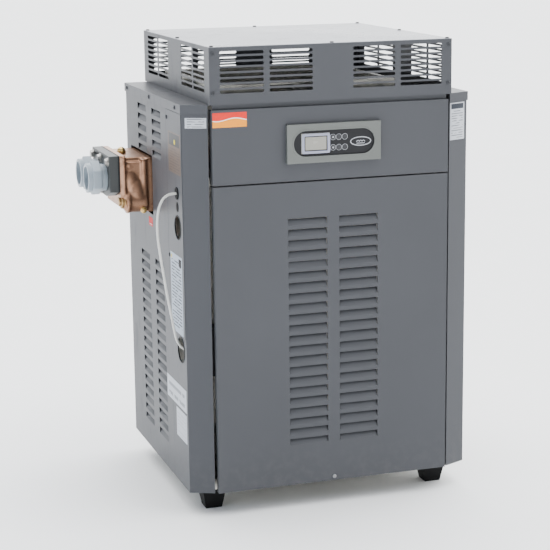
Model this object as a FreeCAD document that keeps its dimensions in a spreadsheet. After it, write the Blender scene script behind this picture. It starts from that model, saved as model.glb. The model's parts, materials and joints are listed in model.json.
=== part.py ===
# Gas pool heater: a free-standing outdoor cabinet with a vent cage on its lid, a bronze water header
# at its left side, a lift-off louvred door, and the burner, heat exchanger and controls inside.
# Everything is modelled from the cabinet: X right from its mid-plane, Y back from the lid's front
# edge, Z up from the cabinet's underside. Each sub-part's Placement then moves it to the row frame.
import FreeCAD, Part
import math
import operator
import os

import Sketcher

doc = FreeCAD.newDocument("gas_pool_heater")
sheet = doc.addObject("Spreadsheet::Sheet", "Sizes")

SIZES = {
    # cabinet
    "cabinet_width": 588.6, "cabinet_depth": 479.5, "cabinet_height": 770.0, "metal": 1.2,
    "front_width": 495.9, "chamfer_depth": 21.5, "chamfer_wall": 1.32, "lid_overhang": 2.3,
    "lid_flange": 17.6, "front_return": 16.0, "rear_return": 16.0, "jacket_gap": 0.4,
    # feet
    "foot_height": 47.0, "foot_top": 51.0, "foot_base": 33.0, "foot_x": 238.0, "foot_y": 65.5,
    # door and control panel
    "door_proud": 6.0, "door_side_gap": 5.9, "door_bottom_gap": 1.0, "door_return": 14.0,
    "split_drop": 155.9, "split_gap": 3.0, "control_drop": 10.3, "control_top_gap": 0.48,
    "door_screw_height": 9.4,
    # louvres
    "louvre_pitch": 21.2, "louvre_height": 13.0, "louvre_depth": 5.0, "louvre_lip": 1.5,
    "louvre_end_gap": 0.6, "louvre_root": 0.8,
    "door_louvre_inner": 12.6, "door_louvre_width": 80.2, "door_louvre_drop": 71.8,
    "door_louvre_margin": 90.0,
    "side_louvre_front": 184.0, "side_louvre_width": 72.0, "side_louvre_step": 119.0,
    "side_upper_drop": 30.5, "side_upper_run": 90.0, "side_lower_drop": 340.5,
    "side_lower_margin": 60.0, "rear_louvre_inner": 60.0, "rear_louvre_width": 120.0,
    # vent cage
    "cage_width": 493.3, "cage_depth": 508.0, "cage_height": 108.5, "cage_front": 9.5,
    "cage_flange": 14.0, "cage_crown": 4.0, "slot_height": 6.5, "slot_pitch": 10.4, "slot_rows": 8.0,
    "slot_first": 96.6, "front_slot_inner": 41.0, "front_slot_width": 87.0, "front_slot_step": 98.0,
    "side_slot_inner": 50.6, "side_slot_width": 80.4, "side_slot_step": 88.8,
    # flue collector under the cage
    "flue_left": 222.0, "flue_right": 150.0, "flue_front": 48.0, "flue_depth": 370.0, "flue_rise": 30.0,
    "flue_clear": 3.0, "flue_lip": 12.0, "flue_wall": 1.5, "relief_x": -92.0, "relief_half": 31.0,
    # water side
    "water_drop": 175.0, "water_front": 315.0, "water_pitch": 76.0, "waterway": 20.0,
    "socket_radius": 24.25, "socket_depth": 32.0, "mouth_radius": 30.0, "mouth_length": 10.0,
    "connector_hex": 61.5, "connector_reach": 40.0, "flange_thick": 18.0, "flange_rise": 48.0,
    "flange_fall": 39.0, "flange_wide": 162.0, "flange_cut_wide": 40.0, "flange_cut_tall": 13.0,
    "gasket": 3.5, "bronze_reach": 65.0, "bronze_wide": 170.0, "bronze_rise": 42.0, "bronze_fall": 72.0,
    "bronze_wall": 7.0, "bronze_corner": 22.0, "bronze_rib": 12.0,
    "opening_gap": 6.0, "opening_above": 4.0,
    "bolt_radius": 4.0, "bolt_flats": 13.0, "bolt_head": 7.0, "bolt_depth": 29.0, "bolt_edge": 12.0,
    "bolt_rise": 35.0, "bolt_fall": 30.0, "hole_clear": 0.1,
    "governor_radius": 10.0, "governor_base": 8.5, "governor_dome": 5.0, "governor_x": 22.4,
    "bypass_radius": 16.2, "bypass_reach": 14.0, "bypass_bore": 12.5, "bypass_drop": 48.0,
    "bypass_set": 18.0, "bypass_length": 44.0, "bypass_seat": 9.0, "bypass_clear": 0.05,
    "bypass_travel": 8.0, "poppet_thick": 5.0, "spring_wire": 1.6, "spring_radius": 9.0,
    "spring_pitch": 4.4, "drain_radius": 6.0, "drain_reach": 9.0, "drain_x": 46.0, "drain_rise": 7.0,
    # heat exchanger
    "tube_radius": 11.0, "tube_count": 9.0, "tube_pitch": 34.0, "tube_first": 108.0, "tube_sheet": 12.0,
    "bank_half": 236.0, "fin_radius": 15.5, "fin_thick": 1.6, "fin_pitch": 12.0, "fin_margin": 24.0,
    "sheet_tall": 92.0, "sheet_margin": 16.0, "manifold_depth": 24.0, "return_depth": 32.0,
    "header_wall": 6.0, "header_tall": 80.0, "tube_wall": 1.3,
    # combustion chamber and burner
    "chamber_wall": 25.0, "chamber_fit": 0.5, "tray_height": 46.0, "tray_low": 78.0,
    "burner_radius": 13.0, "burner_bore": 11.8, "burner_count": 8.0, "burner_pitch": 50.0,
    "burner_end_gap": 6.0, "air_slot": 14.0, "manifold_radius": 10.0, "manifold_bore": 8.0,
    "manifold_set": 20.0, "manifold_end": 20.0, "spud_radius": 4.0, "spud_reach": 2.0,
    "pan_flange": 22.0, "pan_opening_wide": 380.0, "pan_opening_deep": 280.0,
    # gas train
    "gas_radius": 13.35, "gas_bore": 10.4, "gas_socket": 17.0, "gas_socket_length": 30.0,
    "gas_thread_bore": 12.1, "gas_thread_length": 16.0, "gas_hole_gap": 2.0, "gas_y": 44.0,
    "valve_wide": 92.0, "valve_deep": 32.0, "valve_tall": 60.0, "valve_x": 96.0, "valve_neck": 7.0,
    "knob_radius": 15.0, "knob_height": 15.0, "knob_stem": 4.0, "knob_clear": 0.05,
    "knob_lift": 0.4, "knob_depth": 10.0, "knob_grip": 5.0,
    # control panel fittings
    "bezel_wide": 192.0, "bezel_tall": 75.8, "bezel_drop": 82.0, "bezel_thick": 9.0,
    "pill_run": 58.0, "pill_radius": 25.0, "pill_set": 2.5, "fascia_lap": 2.0, "fascia_thick": 2.0,
    "fascia_clear": 0.3, "lcd_x": -38.0, "lcd_wide": 58.0, "lcd_tall": 39.0, "lcd_lap": 5.0,
    "lcd_proud": 0.8, "key_first": -2.2, "key_step": 12.2, "key_rise": 10.1, "key_radius": 5.0,
    "key_proud": 1.1, "key_clear": 0.3, "key_collar": 1.0, "key_collar_thick": 1.2,
    "board_set": 14.0, "board_thick": 1.6, "board_post": 3.0, "board_edge": 6.0,
    # access cover and its holes
    "cover_low": 312.0, "cover_top_drop": 18.5, "cover_rear": 136.0, "cover_fold": 1.5,
    "cover_lap": 12.0, "hole_y": 62.0, "knockout_radius": 10.2, "cable_hole_drop": 175.0,
    "knockout_drop": 202.0, "wiring_drop": 242.0, "wiring_radius": 23.5, "entry_height": 283.0,
    "entry_radius": 25.5,
    # screws
    "screw_radius": 4.0, "screw_head": 2.2, "cage_screw_rise": 22.0, "lid_screw_share": 0.55,
    "lid_screw_margin": 24.0, "rear_screw_share": 0.75, "cover_screw_end": 16.0,
    "cover_screw_middle": 150.0,
    # supply cable
    "cable_radius": 2.5, "cable_bend_share": 0.45, "cable_fall": 3.4, "bush_fit": 0.2, "bush_collar": 12.0,
    "bush_reach": 1.7, "bush_depth": 8.0,
    # electrical boxes
    "module_wide": 40.0, "module_deep": 60.0, "module_tall": 96.0, "module_set": 32.3,
    "module_gap": 1.0, "module_tab": 4.0, "module_fall": 50.0, "switch_radius": 26.0,
    "switch_thick": 22.0, "switch_y": 70.0, "switch_drop": 350.0, "rail_tall": 30.0, "rail_deep": 24.0,
}
for line, (word, number) in enumerate(SIZES.items(), 1):
    sheet.set(f"A{line}", word)
    sheet.set(f"B{line}", str(number))
    sheet.setAlias(f"B{line}", word)
doc.recompute()


class Size:
    """A length or place of the heater, held as a number and as its expression on the size sheet."""

    def __init__(self, number, text):
        self.number = number
        self.text = text

    def joined(self, sign, work, other, other_first=False):
        pair = (size(other), self) if other_first else (self, size(other))
        number = work(pair[0].number, pair[1].number)
        return Size(number, f"({pair[0].text} {sign} {pair[1].text})")

    def __add__(self, other):
        return self.joined("+", operator.add, other)

    def __sub__(self, other):
        return self.joined("-", operator.sub, other)

    def __mul__(self, other):
        return self.joined("*", operator.mul, other)

    def __truediv__(self, other):
        return self.joined("/", operator.truediv, other)

    def __radd__(self, other):
        return self.joined("+", operator.add, other, True)

    def __rsub__(self, other):
        return self.joined("-", operator.sub, other, True)

    def __rmul__(self, other):
        return self.joined("*", operator.mul, other, True)

    def __neg__(self):
        return 0 - self

    def __float__(self):
        return float(self.number)

    def whole(self):
        return Size(math.floor(self.number), f"floor({self.text})")


def size(value):
    """A bare number as a Size; a Size as it is."""
    return value if isinstance(value, Size) else Size(value, f"({value})")


class Sheet:
    """Reads a word of the size sheet as a Size: of.metal is the sheet metal's thickness."""

    def __getattr__(self, word):
        return Size(float(sheet.get(word)), f"Sizes.{word}")


of = Sheet()
AXES = ("X", "Y", "Z")
PLANES = {"X": "YZ_Plane", "Y": "XZ_Plane", "Z": "XY_Plane"}
TURNS = {"X": FreeCAD.Rotation(FreeCAD.Vector(0, 1, 0), 90),
         "Y": FreeCAD.Rotation(FreeCAD.Vector(1, 0, 0), -90),
         "Z": FreeCAD.Rotation()}
SUBPARTS = []


def bind(thing, sizes):
    """Ties properties of an object to expressions on the size sheet."""
    for name, value in sizes.items():
        thing.setExpression(name, size(value).text)


def origin_feature(body, role):
    return next(f for f in body.Origin.OriginFeatures if f.Role == role)


# ---- outlines, drawn in a sketch and held by dimensions from its origin ----

def pin(drawing, geometry, point, place):
    """Holds one point of a sketch's line or arc at its place."""
    for kind, value in zip(("DistanceX", "DistanceY"), place):
        number = drawing.addConstraint(Sketcher.Constraint(kind, geometry, point, float(value)))
        drawing.setExpression(f"Constraints[{number}]", size(value).text)


def polygon(*corners):
    """A closed outline with straight sides."""
    def draw(drawing):
        first = drawing.GeometryCount
        count = len(corners)
        spots = [FreeCAD.Vector(float(u), float(v), 0) for u, v in corners]
        for i in range(count):
            drawing.addGeometry(Part.LineSegment(spots[i], spots[(i + 1) % count]), False)
        for i in range(count):
            follower = first + (i + 1) % count
            drawing.addConstraint(Sketcher.Constraint("Coincident", first + i, 2, follower, 1))
        for i in range(count):
            pin(drawing, first + i, 1, corners[i])
    return draw


def oblong(across, up):
    """A rectangle, from its two spans."""
    return polygon((across[0], up[0]), (across[1], up[0]), (across[1], up[1]), (across[0], up[1]))


def ring(centre, radius):
    """A circle."""
    def draw(drawing):
        spot = FreeCAD.Vector(float(centre[0]), float(centre[1]), 0)
        circle = drawing.addGeometry(Part.Circle(spot, FreeCAD.Vector(0, 0, 1), float(radius)), False)
        pin(drawing, circle, 3, centre)
        number = drawing.addConstraint(Sketcher.Constraint("Radius", circle, float(radius)))
        drawing.setExpression(f"Constraints[{number}]", size(radius).text)
    return draw


def pill(across, height, radius):
    """A level slot with round ends: across is the span between the centres of its ends."""
    def draw(drawing):
        low, high, level, r = float(across[0]), float(across[1]), float(height), float(radius)
        up = FreeCAD.Vector(0, 0, 1)
        quarter = math.pi / 2
        top = drawing.addGeometry(Part.LineSegment(FreeCAD.Vector(low, level + r, 0),
                                                   FreeCAD.Vector(high, level + r, 0)), False)
        right_circle = Part.Circle(FreeCAD.Vector(high, level, 0), up, r)
        right = drawing.addGeometry(Part.ArcOfCircle(right_circle, -quarter, quarter), False)
        foot = drawing.addGeometry(Part.LineSegment(FreeCAD.Vector(high, level - r, 0),
                                                    FreeCAD.Vector(low, level - r, 0)), False)
        left_circle = Part.Circle(FreeCAD.Vector(low, level, 0), up, r)
        left = drawing.addGeometry(Part.ArcOfCircle(left_circle, quarter, 3 * quarter), False)
        for a, a_end, b, b_end in ((top, 2, right, 2), (right, 1, foot, 1),
                                   (foot, 2, left, 2), (left, 1, top, 1)):
            drawing.addConstraint(Sketcher.Constraint("Coincident", a, a_end, b, b_end))
        for arc in (right, left):
            for end in (1, 2):
                drawing.addConstraint(Sketcher.Constraint("Vertical", arc, 3, arc, end))
            number = drawing.addConstraint(Sketcher.Constraint("Radius", arc, r))
            drawing.setExpression(f"Constraints[{number}]", size(radius).text)
        pin(drawing, right, 3, (across[1], height))
        pin(drawing, left, 3, (across[0], height))
    return draw


# ---- solids ----

def new_body(name):
    body = doc.addObject("PartDesign::Body", name)
    body.Label = name
    return body


def sketch_on(body, name, axis, place, outlines):
    """A sketch across an axis, at a place along it."""
    drawing = body.newObject("Sketcher::SketchObject", name)
    drawing.AttachmentSupport = [(origin_feature(body, PLANES[axis]), "")]
    drawing.MapMode = "FlatFace"
    bind(drawing, {"AttachmentOffset.Base.z": -place if axis == "Y" else place})
    for outline in outlines:
        outline(drawing)
    return drawing


def grow(body, name, axis, span, *outlines):
    """Adds the outlines to a body as a block that fills the span along the axis."""
    pad = body.newObject("PartDesign::Pad", name)
    pad.Profile = sketch_on(body, name + "_outline", axis, size(span[0]), outlines)
    pad.Reversed = axis == "Y"
    bind(pad, {"Length": span[1] - span[0]})
    return pad


def carve(body, name, axis, span, *outlines):
    """Cuts the outlines out of a body over the span along the axis."""
    pocket = body.newObject("PartDesign::Pocket", name)
    pocket.Profile = sketch_on(body, name + "_outline", axis, size(span[0]), outlines)
    pocket.Reversed = axis != "Y"
    bind(pocket, {"Length": span[1] - span[0]})
    return pocket


def repeat(body, name, features, axis, pitch, count, backwards=False):
    """Repeats features of a body in a row."""
    row = body.newObject("PartDesign::LinearPattern", name)
    row.Originals = features
    row.Direction = (origin_feature(body, axis + "_Axis"), [""])
    row.Reversed = backwards
    row.Mode = "Spacing"
    bind(row, {"Offset": pitch, "Occurrences": count})
    body.Tip = row
    return row


def block(name, x, y, z):
    """A box, from its three spans."""
    box = doc.addObject("Part::Box", name)
    for axis, side, span in zip(AXES, ("Length", "Width", "Height"), (x, y, z)):
        bind(box, {f"Placement.Base.{axis.lower()}": span[0], side: span[1] - span[0]})
    return box


def stand(thing, axis, span, across):
    """Turns a primitive that points up to point along the axis, from the span's start."""
    spots = iter(across)
    thing.Placement = FreeCAD.Placement(FreeCAD.Vector(), TURNS[axis])
    for letter in AXES:
        bind(thing, {f"Placement.Base.{letter.lower()}": span[0] if letter == axis else next(spots)})
    return thing


def rod(name, axis, span, across, radius):
    """A round bar along an axis; across is its place on the other two axes, in X, Y, Z order."""
    cylinder = doc.addObject("Part::Cylinder", name)
    bind(cylinder, {"Radius": radius, "Height": span[1] - span[0]})
    return stand(cylinder, axis, span, across)


def taper(name, axis, span, across, radii):
    """A round bar whose radius changes from its start to its end."""
    cone = doc.addObject("Part::Cone", name)
    bind(cone, {"Radius1": radii[0], "Radius2": radii[1], "Height": span[1] - span[0]})
    return stand(cone, axis, span, across)


def hexagon(name, axis, span, across, flats):
    """A six-sided bar, measured across its flats."""
    prism = doc.addObject("Part::Prism", name)
    bind(prism, {"Circumradius": flats / math.sqrt(3), "Height": span[1] - span[0]})
    return stand(prism, axis, span, across)


def fused(name, *pieces):
    joined = doc.addObject("Part::MultiFuse", name)
    joined.Shapes = list(pieces)
    joined.Refine = True
    return joined


def cut(name, base, *tools):
    hollow = doc.addObject("Part::Cut", name)
    hollow.Base = base
    hollow.Tool = tools[0] if len(tools) == 1 else fused(name + "_tools", *tools)
    return hollow


def together(name, pieces):
    """Separate solids that share a node."""
    kept = doc.addObject("Part::Compound", name)
    kept.Links = list(pieces)
    return kept


def subpart(thing, name):
    """Names a finished sub-part and moves it to the row frame; a lone primitive is wrapped first."""
    if thing.isDerivedFrom("Part::Primitive"):
        thing.Label = name + "_form"
        thing = together(name + "_whole", [thing])
    thing.Label = name
    bind(thing, {"Placement.Base.x": move_x, "Placement.Base.y": move_y,
                 "Placement.Base.z": of.foot_height})
    SUBPARTS.append(thing)
    return thing


# ---- places that several sub-parts share ----

half = of.cabinet_width / 2
front_half = of.front_width / 2
lid_half = half + of.lid_overhang
top = of.cabinet_height
rear = of.cabinet_depth
lid_rear = rear + of.lid_overhang
chamfer_fall = of.chamfer_depth / (lid_half - front_half)
panel_front = of.lid_overhang
panel_corner = panel_front + chamfer_fall * (half - front_half)
door_half = front_half - of.door_side_gap
door_face = -of.door_proud
split = top - of.split_drop
door_top = split - of.split_gap / 2
control_low = split + of.split_gap / 2
control_top = top - of.control_drop
water_z = top - of.water_drop
water_mid = of.water_front + of.water_pitch / 2
bronze_x = -half - of.bronze_reach
gasket_x = bronze_x - of.gasket
flange_x = gasket_x - of.flange_thick
mouth_x = flange_x - of.connector_reach
bronze_span = (water_mid - of.bronze_wide / 2, water_mid + of.bronze_wide / 2)
bronze_low = water_z - of.bronze_fall
bronze_top = water_z + of.bronze_rise
cage_half = of.cage_width / 2
cage_span = (-of.cage_front, of.cage_depth - of.cage_front)
cage_top = top + of.cage_height
bezel_face = door_face - of.bezel_thick

move_x = (-mouth_x - (lid_half + of.screw_head)) / 2
move_y = (-bezel_face - cage_span[1]) / 2
cavity_half = half - of.metal - of.jacket_gap
jacket_top = top - of.metal - of.jacket_gap
rail_front = panel_front + of.front_return
chamber_low = of.tray_low + of.tray_height
bank_front = of.tube_first - of.sheet_margin
bank_rear = of.tube_first + of.tube_pitch * (of.tube_count - 1) + of.sheet_margin
chamber_inner = (bank_front - of.chamber_fit, bank_rear + of.chamber_fit)
chamber_outer = (chamber_inner[0] - of.chamber_wall, chamber_inner[1] + of.chamber_wall)
sheet_low = water_z - of.sheet_tall / 2
sheet_top = water_z + of.sheet_tall / 2
sheet_outer = of.bank_half + of.tube_sheet
burner_z = of.tray_low + of.metal + of.burner_radius
cover_top = top - of.cover_top_drop
cover_front = panel_corner + of.cover_fold
cover_face = -half - of.metal
bush_face = cover_face - of.bush_reach
module_face = -half + of.module_set
bezel_z = top - of.bezel_drop
fascia_y = bezel_face + of.pill_set
poppet_x = bronze_x + of.bronze_rib + of.bypass_length
bypass_z = water_z - of.bypass_drop
bypass_y = bronze_span[0] + of.bypass_set


def span_about(middle, width):
    return (middle - width / 2, middle + width / 2)


# ---- sheet metal ----

def add_louvres(body, name, axis, face, inward, columns, first, count):
    """Rows of pressed louvres: under each slot's top edge a blade, hinged at its foot, leans inward."""
    foot = first - of.louvre_height
    lip = first - of.louvre_lip
    skin = (face - of.metal / 2, face + of.metal * 2)
    if inward < 0:
        skin = (face - of.metal * 2, face + of.metal / 2)
    slots = [oblong(column, (foot, first)) for column in columns]
    features = [carve(body, name + "_slots", axis, skin, *slots)]
    blade = ((face, foot), (face + inward * of.louvre_depth, lip),
             (face + inward * (of.louvre_depth + of.metal), lip),
             (face + inward * of.metal, foot - of.louvre_root))
    along = "X" if axis == "Y" else "Y"
    for number, column in enumerate(columns):
        length = (column[0] + of.louvre_end_gap, column[1] - of.louvre_end_gap)
        features.append(grow(body, f"{name}_blade{number}", along, length, polygon(*blade)))
    repeat(body, name, features, "Z", of.louvre_pitch, count, backwards=True)


def louvre_count(first, lowest):
    return ((first - lowest) / of.louvre_pitch).whole() + 1


def make_base_pan():
    body = new_body("base_pan")
    x, y = (-cavity_half, cavity_half), (panel_corner + of.cover_fold, rear - of.metal - of.jacket_gap)
    inside = oblong((x[0] + of.metal, x[1] - of.metal), (y[0] + of.metal, y[1] - of.metal))
    air = oblong(span_about(size(0), of.pan_opening_wide), span_about(rear / 2, of.pan_opening_deep))
    grow(body, "floor", "Z", (size(0), of.metal), oblong(x, y), air)
    grow(body, "rim", "Z", (size(0), of.pan_flange), oblong(x, y), inside)
    subpart(body, "base_pan")


def make_feet():
    lower, upper = of.foot_base / 2, of.foot_top / 2
    for name, x, y in (("front_left", -of.foot_x, of.foot_y), ("front_right", of.foot_x, of.foot_y),
                       ("rear_left", -of.foot_x, rear - of.foot_y),
                       ("rear_right", of.foot_x, rear - of.foot_y)):
        foot = new_body("foot_" + name)
        loft = foot.newObject("PartDesign::AdditiveLoft", "block_" + name)
        loft.Profile = sketch_on(foot, "tread_" + name, "Z", -of.foot_height,
                                 [oblong((x - lower, x + lower), (y - lower, y + lower))])
        loft.Sections = [sketch_on(foot, "seat_" + name, "Z", size(0),
                                   [oblong((x - upper, x + upper), (y - upper, y + upper))])]
        loft.Ruled = True
        subpart(foot, "foot_" + name)


def side_outline(side):
    """The bent side panel from above: rear edge, side, chamfer and front return."""
    outer, inner = side * half, side * (half - of.metal)
    edge, edge_inner = side * front_half, side * (front_half + of.metal)
    return polygon((outer, rear), (outer, panel_corner), (edge, panel_front), (edge, rail_front),
                   (edge_inner, rail_front),
                   (edge_inner, panel_front + chamfer_fall * of.metal + of.chamfer_wall),
                   (inner, panel_corner - chamfer_fall * of.metal + of.chamfer_wall), (inner, rear))


def make_side_panel(name, side):
    body = new_body(name)
    grow(body, name + "_sheet", "Z", (size(0), jacket_top), side_outline(side))
    front = (of.side_louvre_front, of.side_louvre_front + of.side_louvre_width)
    back = (front[0] + of.side_louvre_step, front[1] + of.side_louvre_step)
    upper, lower = top - of.side_upper_drop, top - of.side_lower_drop
    face = side * half
    add_louvres(body, name + "_upper", "X", face, -side, (front, back), upper,
                louvre_count(upper, upper - of.side_upper_run))
    add_louvres(body, name + "_lower", "X", face, -side, (front, back), lower,
                louvre_count(lower, of.side_lower_margin))
    wall = (face - of.metal * 2, face + of.metal * 2)
    if side < 0:
        water = oblong((bronze_span[0] - of.opening_gap, bronze_span[1] + of.opening_gap),
                       (bronze_low - of.opening_above, bronze_top + of.opening_above))
        service = oblong((cover_front + of.cover_lap, of.cover_rear - of.cover_lap),
                         (of.cover_low + of.cover_lap, cover_top - of.cover_lap))
        entry = ring((of.hole_y, of.entry_height), of.entry_radius)
        carve(body, "water_opening", "X", wall, water)
        carve(body, "service_opening", "X", wall, service)
        carve(body, "cable_entry", "X", wall, entry)
    else:
        gas = ring((of.gas_y, burner_z), of.gas_socket + of.gas_hole_gap)
        carve(body, "gas_hole", "X", wall, gas)
    subpart(body, name)


def make_rear_panel():
    body = new_body("rear_panel")
    skin, edge = (rear - of.metal, rear), (-cavity_half, cavity_half)
    grow(body, "rear_sheet", "Y", skin, oblong(edge, (size(0), jacket_top)))
    tall = (of.pan_flange + of.metal, jacket_top)
    grow(body, "rear_returns", "Y", (rear - of.rear_return, rear),
         oblong((edge[0], edge[0] + of.metal), tall), oblong((edge[1] - of.metal, edge[1]), tall))
    right = (of.rear_louvre_inner, of.rear_louvre_inner + of.rear_louvre_width)
    first = top - of.side_lower_drop
    add_louvres(body, "rear_louvres", "Y", rear, -1, ((-right[1], -right[0]), right),
                first, louvre_count(first, of.side_lower_margin))
    subpart(body, "rear_panel")


def lid_outline(inset, front):
    """The lid's plan, with its two chamfered front corners, set in by a wall."""
    side = lid_half - inset
    corner = of.chamfer_depth - chamfer_fall * inset + front
    return polygon((-side, lid_rear - inset), (-side, corner), (-front_half, front),
                   (front_half, front), (side, corner), (side, lid_rear - inset))


def flue_outline(grown):
    return oblong((-of.flue_left - grown, of.flue_right + grown),
                  (of.flue_front - grown, of.flue_front + of.flue_depth + grown))


def make_top_panel():
    body = new_body("top_panel")
    grow(body, "lid", "Z", (top - of.lid_flange, top), lid_outline(size(0), size(0)))
    carve(body, "under_lid", "Z", (top - of.lid_flange, top - of.metal),
          lid_outline(of.metal, of.chamfer_wall))
    carve(body, "flue_opening", "Z", (top - of.metal, top), flue_outline(of.flue_clear))
    notch = door_half - of.metal - of.door_bottom_gap
    carve(body, "corner_notches", "Z", (top - of.lid_flange, top - of.metal),
          oblong((-front_half, -notch), (-of.metal, of.metal + of.chamfer_wall)),
          oblong((notch, front_half), (-of.metal, of.metal + of.chamfer_wall)))
    subpart(body, "top_panel")


def add_tray(body, z, returns_back, low_back, high_back):
    """A shallow front tray: face sheet, two side returns and folded top and bottom edges."""
    wide = (-door_half, door_half)
    grow(body, "face", "Y", (door_face, door_face + of.metal), oblong(wide, z))
    grow(body, "side_returns", "Y", (door_face, returns_back),
         oblong((wide[0], wide[0] + of.metal), z), oblong((wide[1] - of.metal, wide[1]), z))
    grow(body, "low_return", "Y", (door_face, low_back), oblong(wide, (z[0], z[0] + of.metal)))
    grow(body, "high_return", "Y", (door_face, high_back), oblong(wide, (z[1] - of.metal, z[1])))


def make_control_panel():
    body = new_body("control_panel")
    add_tray(body, (control_low, control_top), rail_front, door_face + of.door_return, -of.control_top_gap)
    window = of.pill_run + of.pill_radius + of.fascia_lap
    carve(body, "bezel_window", "Y", (door_face - of.metal, door_face + 2 * of.metal),
          oblong((-window, window), span_about(bezel_z, 2 * (of.pill_radius + of.fascia_lap))))
    subpart(body, "control_panel")


def make_front_door():
    body = new_body("front_door")
    z = (of.door_bottom_gap, door_top)
    depth = door_face + of.door_return
    add_tray(body, z, depth, depth, rail_front)
    right = (of.door_louvre_inner, of.door_louvre_inner + of.door_louvre_width)
    first = split - of.door_louvre_drop
    add_louvres(body, "door_louvres", "Y", door_face, 1, ((-right[1], -right[0]), right),
                first, louvre_count(first, of.door_louvre_margin))
    subpart(body, "front_door")


def make_front_rail():
    x, z = span_about(size(0), 2 * (front_half + of.front_return)), span_about(split, of.rail_tall)
    y = (rail_front, rail_front + of.rail_deep)
    hollow = block("rail_hollow", x, (y[0] + of.metal, y[1]), (z[0] + of.metal, z[1] - of.metal))
    subpart(cut("front_rail", block("rail_bar", x, y, z), hollow), "front_rail")


def make_access_cover():
    body = new_body("access_cover")
    grow(body, "cover_sheet", "X", (cover_face, -half),
         oblong((cover_front, of.cover_rear), (of.cover_low, cover_top)),
         ring((of.hole_y, top - of.cable_hole_drop), of.knockout_radius),
         ring((of.hole_y, top - of.knockout_drop), of.knockout_radius),
         ring((of.hole_y, top - of.wiring_drop), of.wiring_radius))
    subpart(body, "access_cover")


# ---- vent cage ----

def add_cage_slots(body, name, axis, wall, middle, inner, width, step):
    """Rows of round-ended slots in four groups, two each side of the wall's middle."""
    r = of.slot_height / 2
    slots = []
    for shift in (size(0), step):
        low, high = inner + shift + r, inner + shift + width - r
        slots += [pill((middle + low, middle + high), top + of.slot_first, r),
                  pill((middle - high, middle - low), top + of.slot_first, r)]
    row = carve(body, name + "_slots", axis, wall, *slots)
    repeat(body, name + "_slot_rows", [row], "Z", of.slot_pitch, of.slot_rows, backwards=True)


def make_cage():
    wall_top = cage_top - of.metal
    fold = wall_top - of.metal
    wide = (-cage_half, cage_half)
    folds = (-cage_half + of.metal, cage_half - of.metal)
    for name, y, sill, ledge in (
            ("cage_front", (cage_span[0], cage_span[0] + of.metal),
             (cage_span[0], of.cage_flange), (cage_span[0], cage_span[0] + of.cage_flange)),
            ("cage_rear", (cage_span[1] - of.metal, cage_span[1]),
             (lid_rear - of.cage_flange, cage_span[1]), (cage_span[1] - of.cage_flange, cage_span[1]))):
        body = new_body(name)
        grow(body, name + "_wall", "Y", y, oblong(wide, (top, wall_top)))
        grow(body, name + "_sill", "Z", (top, top + of.metal), oblong(folds, sill))
        grow(body, name + "_ledge", "Z", (fold, wall_top), oblong(folds, ledge))
        add_cage_slots(body, name, "Y", (y[0] - of.metal, y[1] + of.metal), size(0),
                       of.front_slot_inner, of.front_slot_width, of.front_slot_step)
        subpart(body, name)
    deep = (cage_span[0] + of.metal, cage_span[1] - of.metal)
    for name, side in (("cage_left", -1), ("cage_right", 1)):
        body = new_body(name)
        ends = sorted((side * cage_half, side * (cage_half - of.metal)), key=float)
        inner = sorted((side * cage_half, side * (cage_half - of.cage_flange)), key=float)
        grow(body, name + "_wall", "X", ends, oblong(deep, (top, wall_top)))
        grow(body, name + "_sill", "Z", (top, top + of.metal),
             oblong(inner, (of.cage_flange, lid_rear - of.cage_flange)))
        grow(body, name + "_ledge", "Z", (fold, wall_top),
             oblong(inner, (cage_span[0] + of.cage_flange, cage_span[1] - of.cage_flange)))
        tabs = (top + 2 * of.metal, fold - of.metal)
        grow(body, name + "_tabs", "Z", tabs,
             oblong(inner, (deep[0], deep[0] + of.metal)), oblong(inner, (deep[1] - of.metal, deep[1])))
        add_cage_slots(body, name, "X", (ends[0] - of.metal, ends[1] + of.metal),
                       (cage_span[0] + cage_span[1]) / 2,
                       of.side_slot_inner, of.side_slot_width, of.side_slot_step)
        subpart(body, name)


def make_cage_cover():
    """A flat cover plate, crowned by its cross creases."""
    body = new_body("cage_cover")
    low, high = cage_top - of.metal, cage_top
    grow(body, "cover_plate", "Z", (low, high), oblong((-cage_half, cage_half), cage_span))
    middle = (cage_span[0] + cage_span[1]) / 2
    point = oblong((-of.metal, of.metal), (middle - of.metal, middle + of.metal))
    edge = of.cage_flange

    def crown(name, kind, base):
        loft = body.newObject(kind, name)
        loft.Profile = sketch_on(body, name + "_base", "Z", base,
                                 [oblong((-cage_half + edge, cage_half - edge),
                                         (cage_span[0] + edge, cage_span[1] - edge))])
        loft.Sections = [sketch_on(body, name + "_point", "Z", base + of.cage_crown, [point])]
        loft.Ruled = True

    crown("crown", "PartDesign::AdditiveLoft", high)
    crown("crown_hollow", "PartDesign::SubtractiveLoft", low)
    subpart(body, "cage_cover")


def make_flue_collector():
    body = new_body("flue_collector")
    low, high = sheet_top, top + of.flue_rise
    grow(body, "duct", "Z", (low, high), flue_outline(size(0)), flue_outline(-of.flue_wall))
    grow(body, "lip", "Z", (high - of.flue_wall, high), flue_outline(size(0)), flue_outline(-of.flue_lip))
    carve(body, "relief_window", "Y", (of.flue_front - of.flue_wall, of.flue_front + 2 * of.flue_wall),
          oblong(span_about(of.relief_x, 2 * of.relief_half),
                 (top + 2 * of.metal, high - 2 * of.flue_wall)))
    subpart(body, "flue_collector")


# ---- screws ----

def screw(name, axis, spot, direction):
    """A round screw head: direction says which way along the axis it stands up from its seat."""
    index = AXES.index(axis)
    across = [spot[i] for i in range(len(AXES)) if i != index]
    seat = spot[index]
    head = sorted((seat, seat + direction * of.screw_head), key=float)
    return rod(name, axis, head, across, of.screw_radius)


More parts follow.
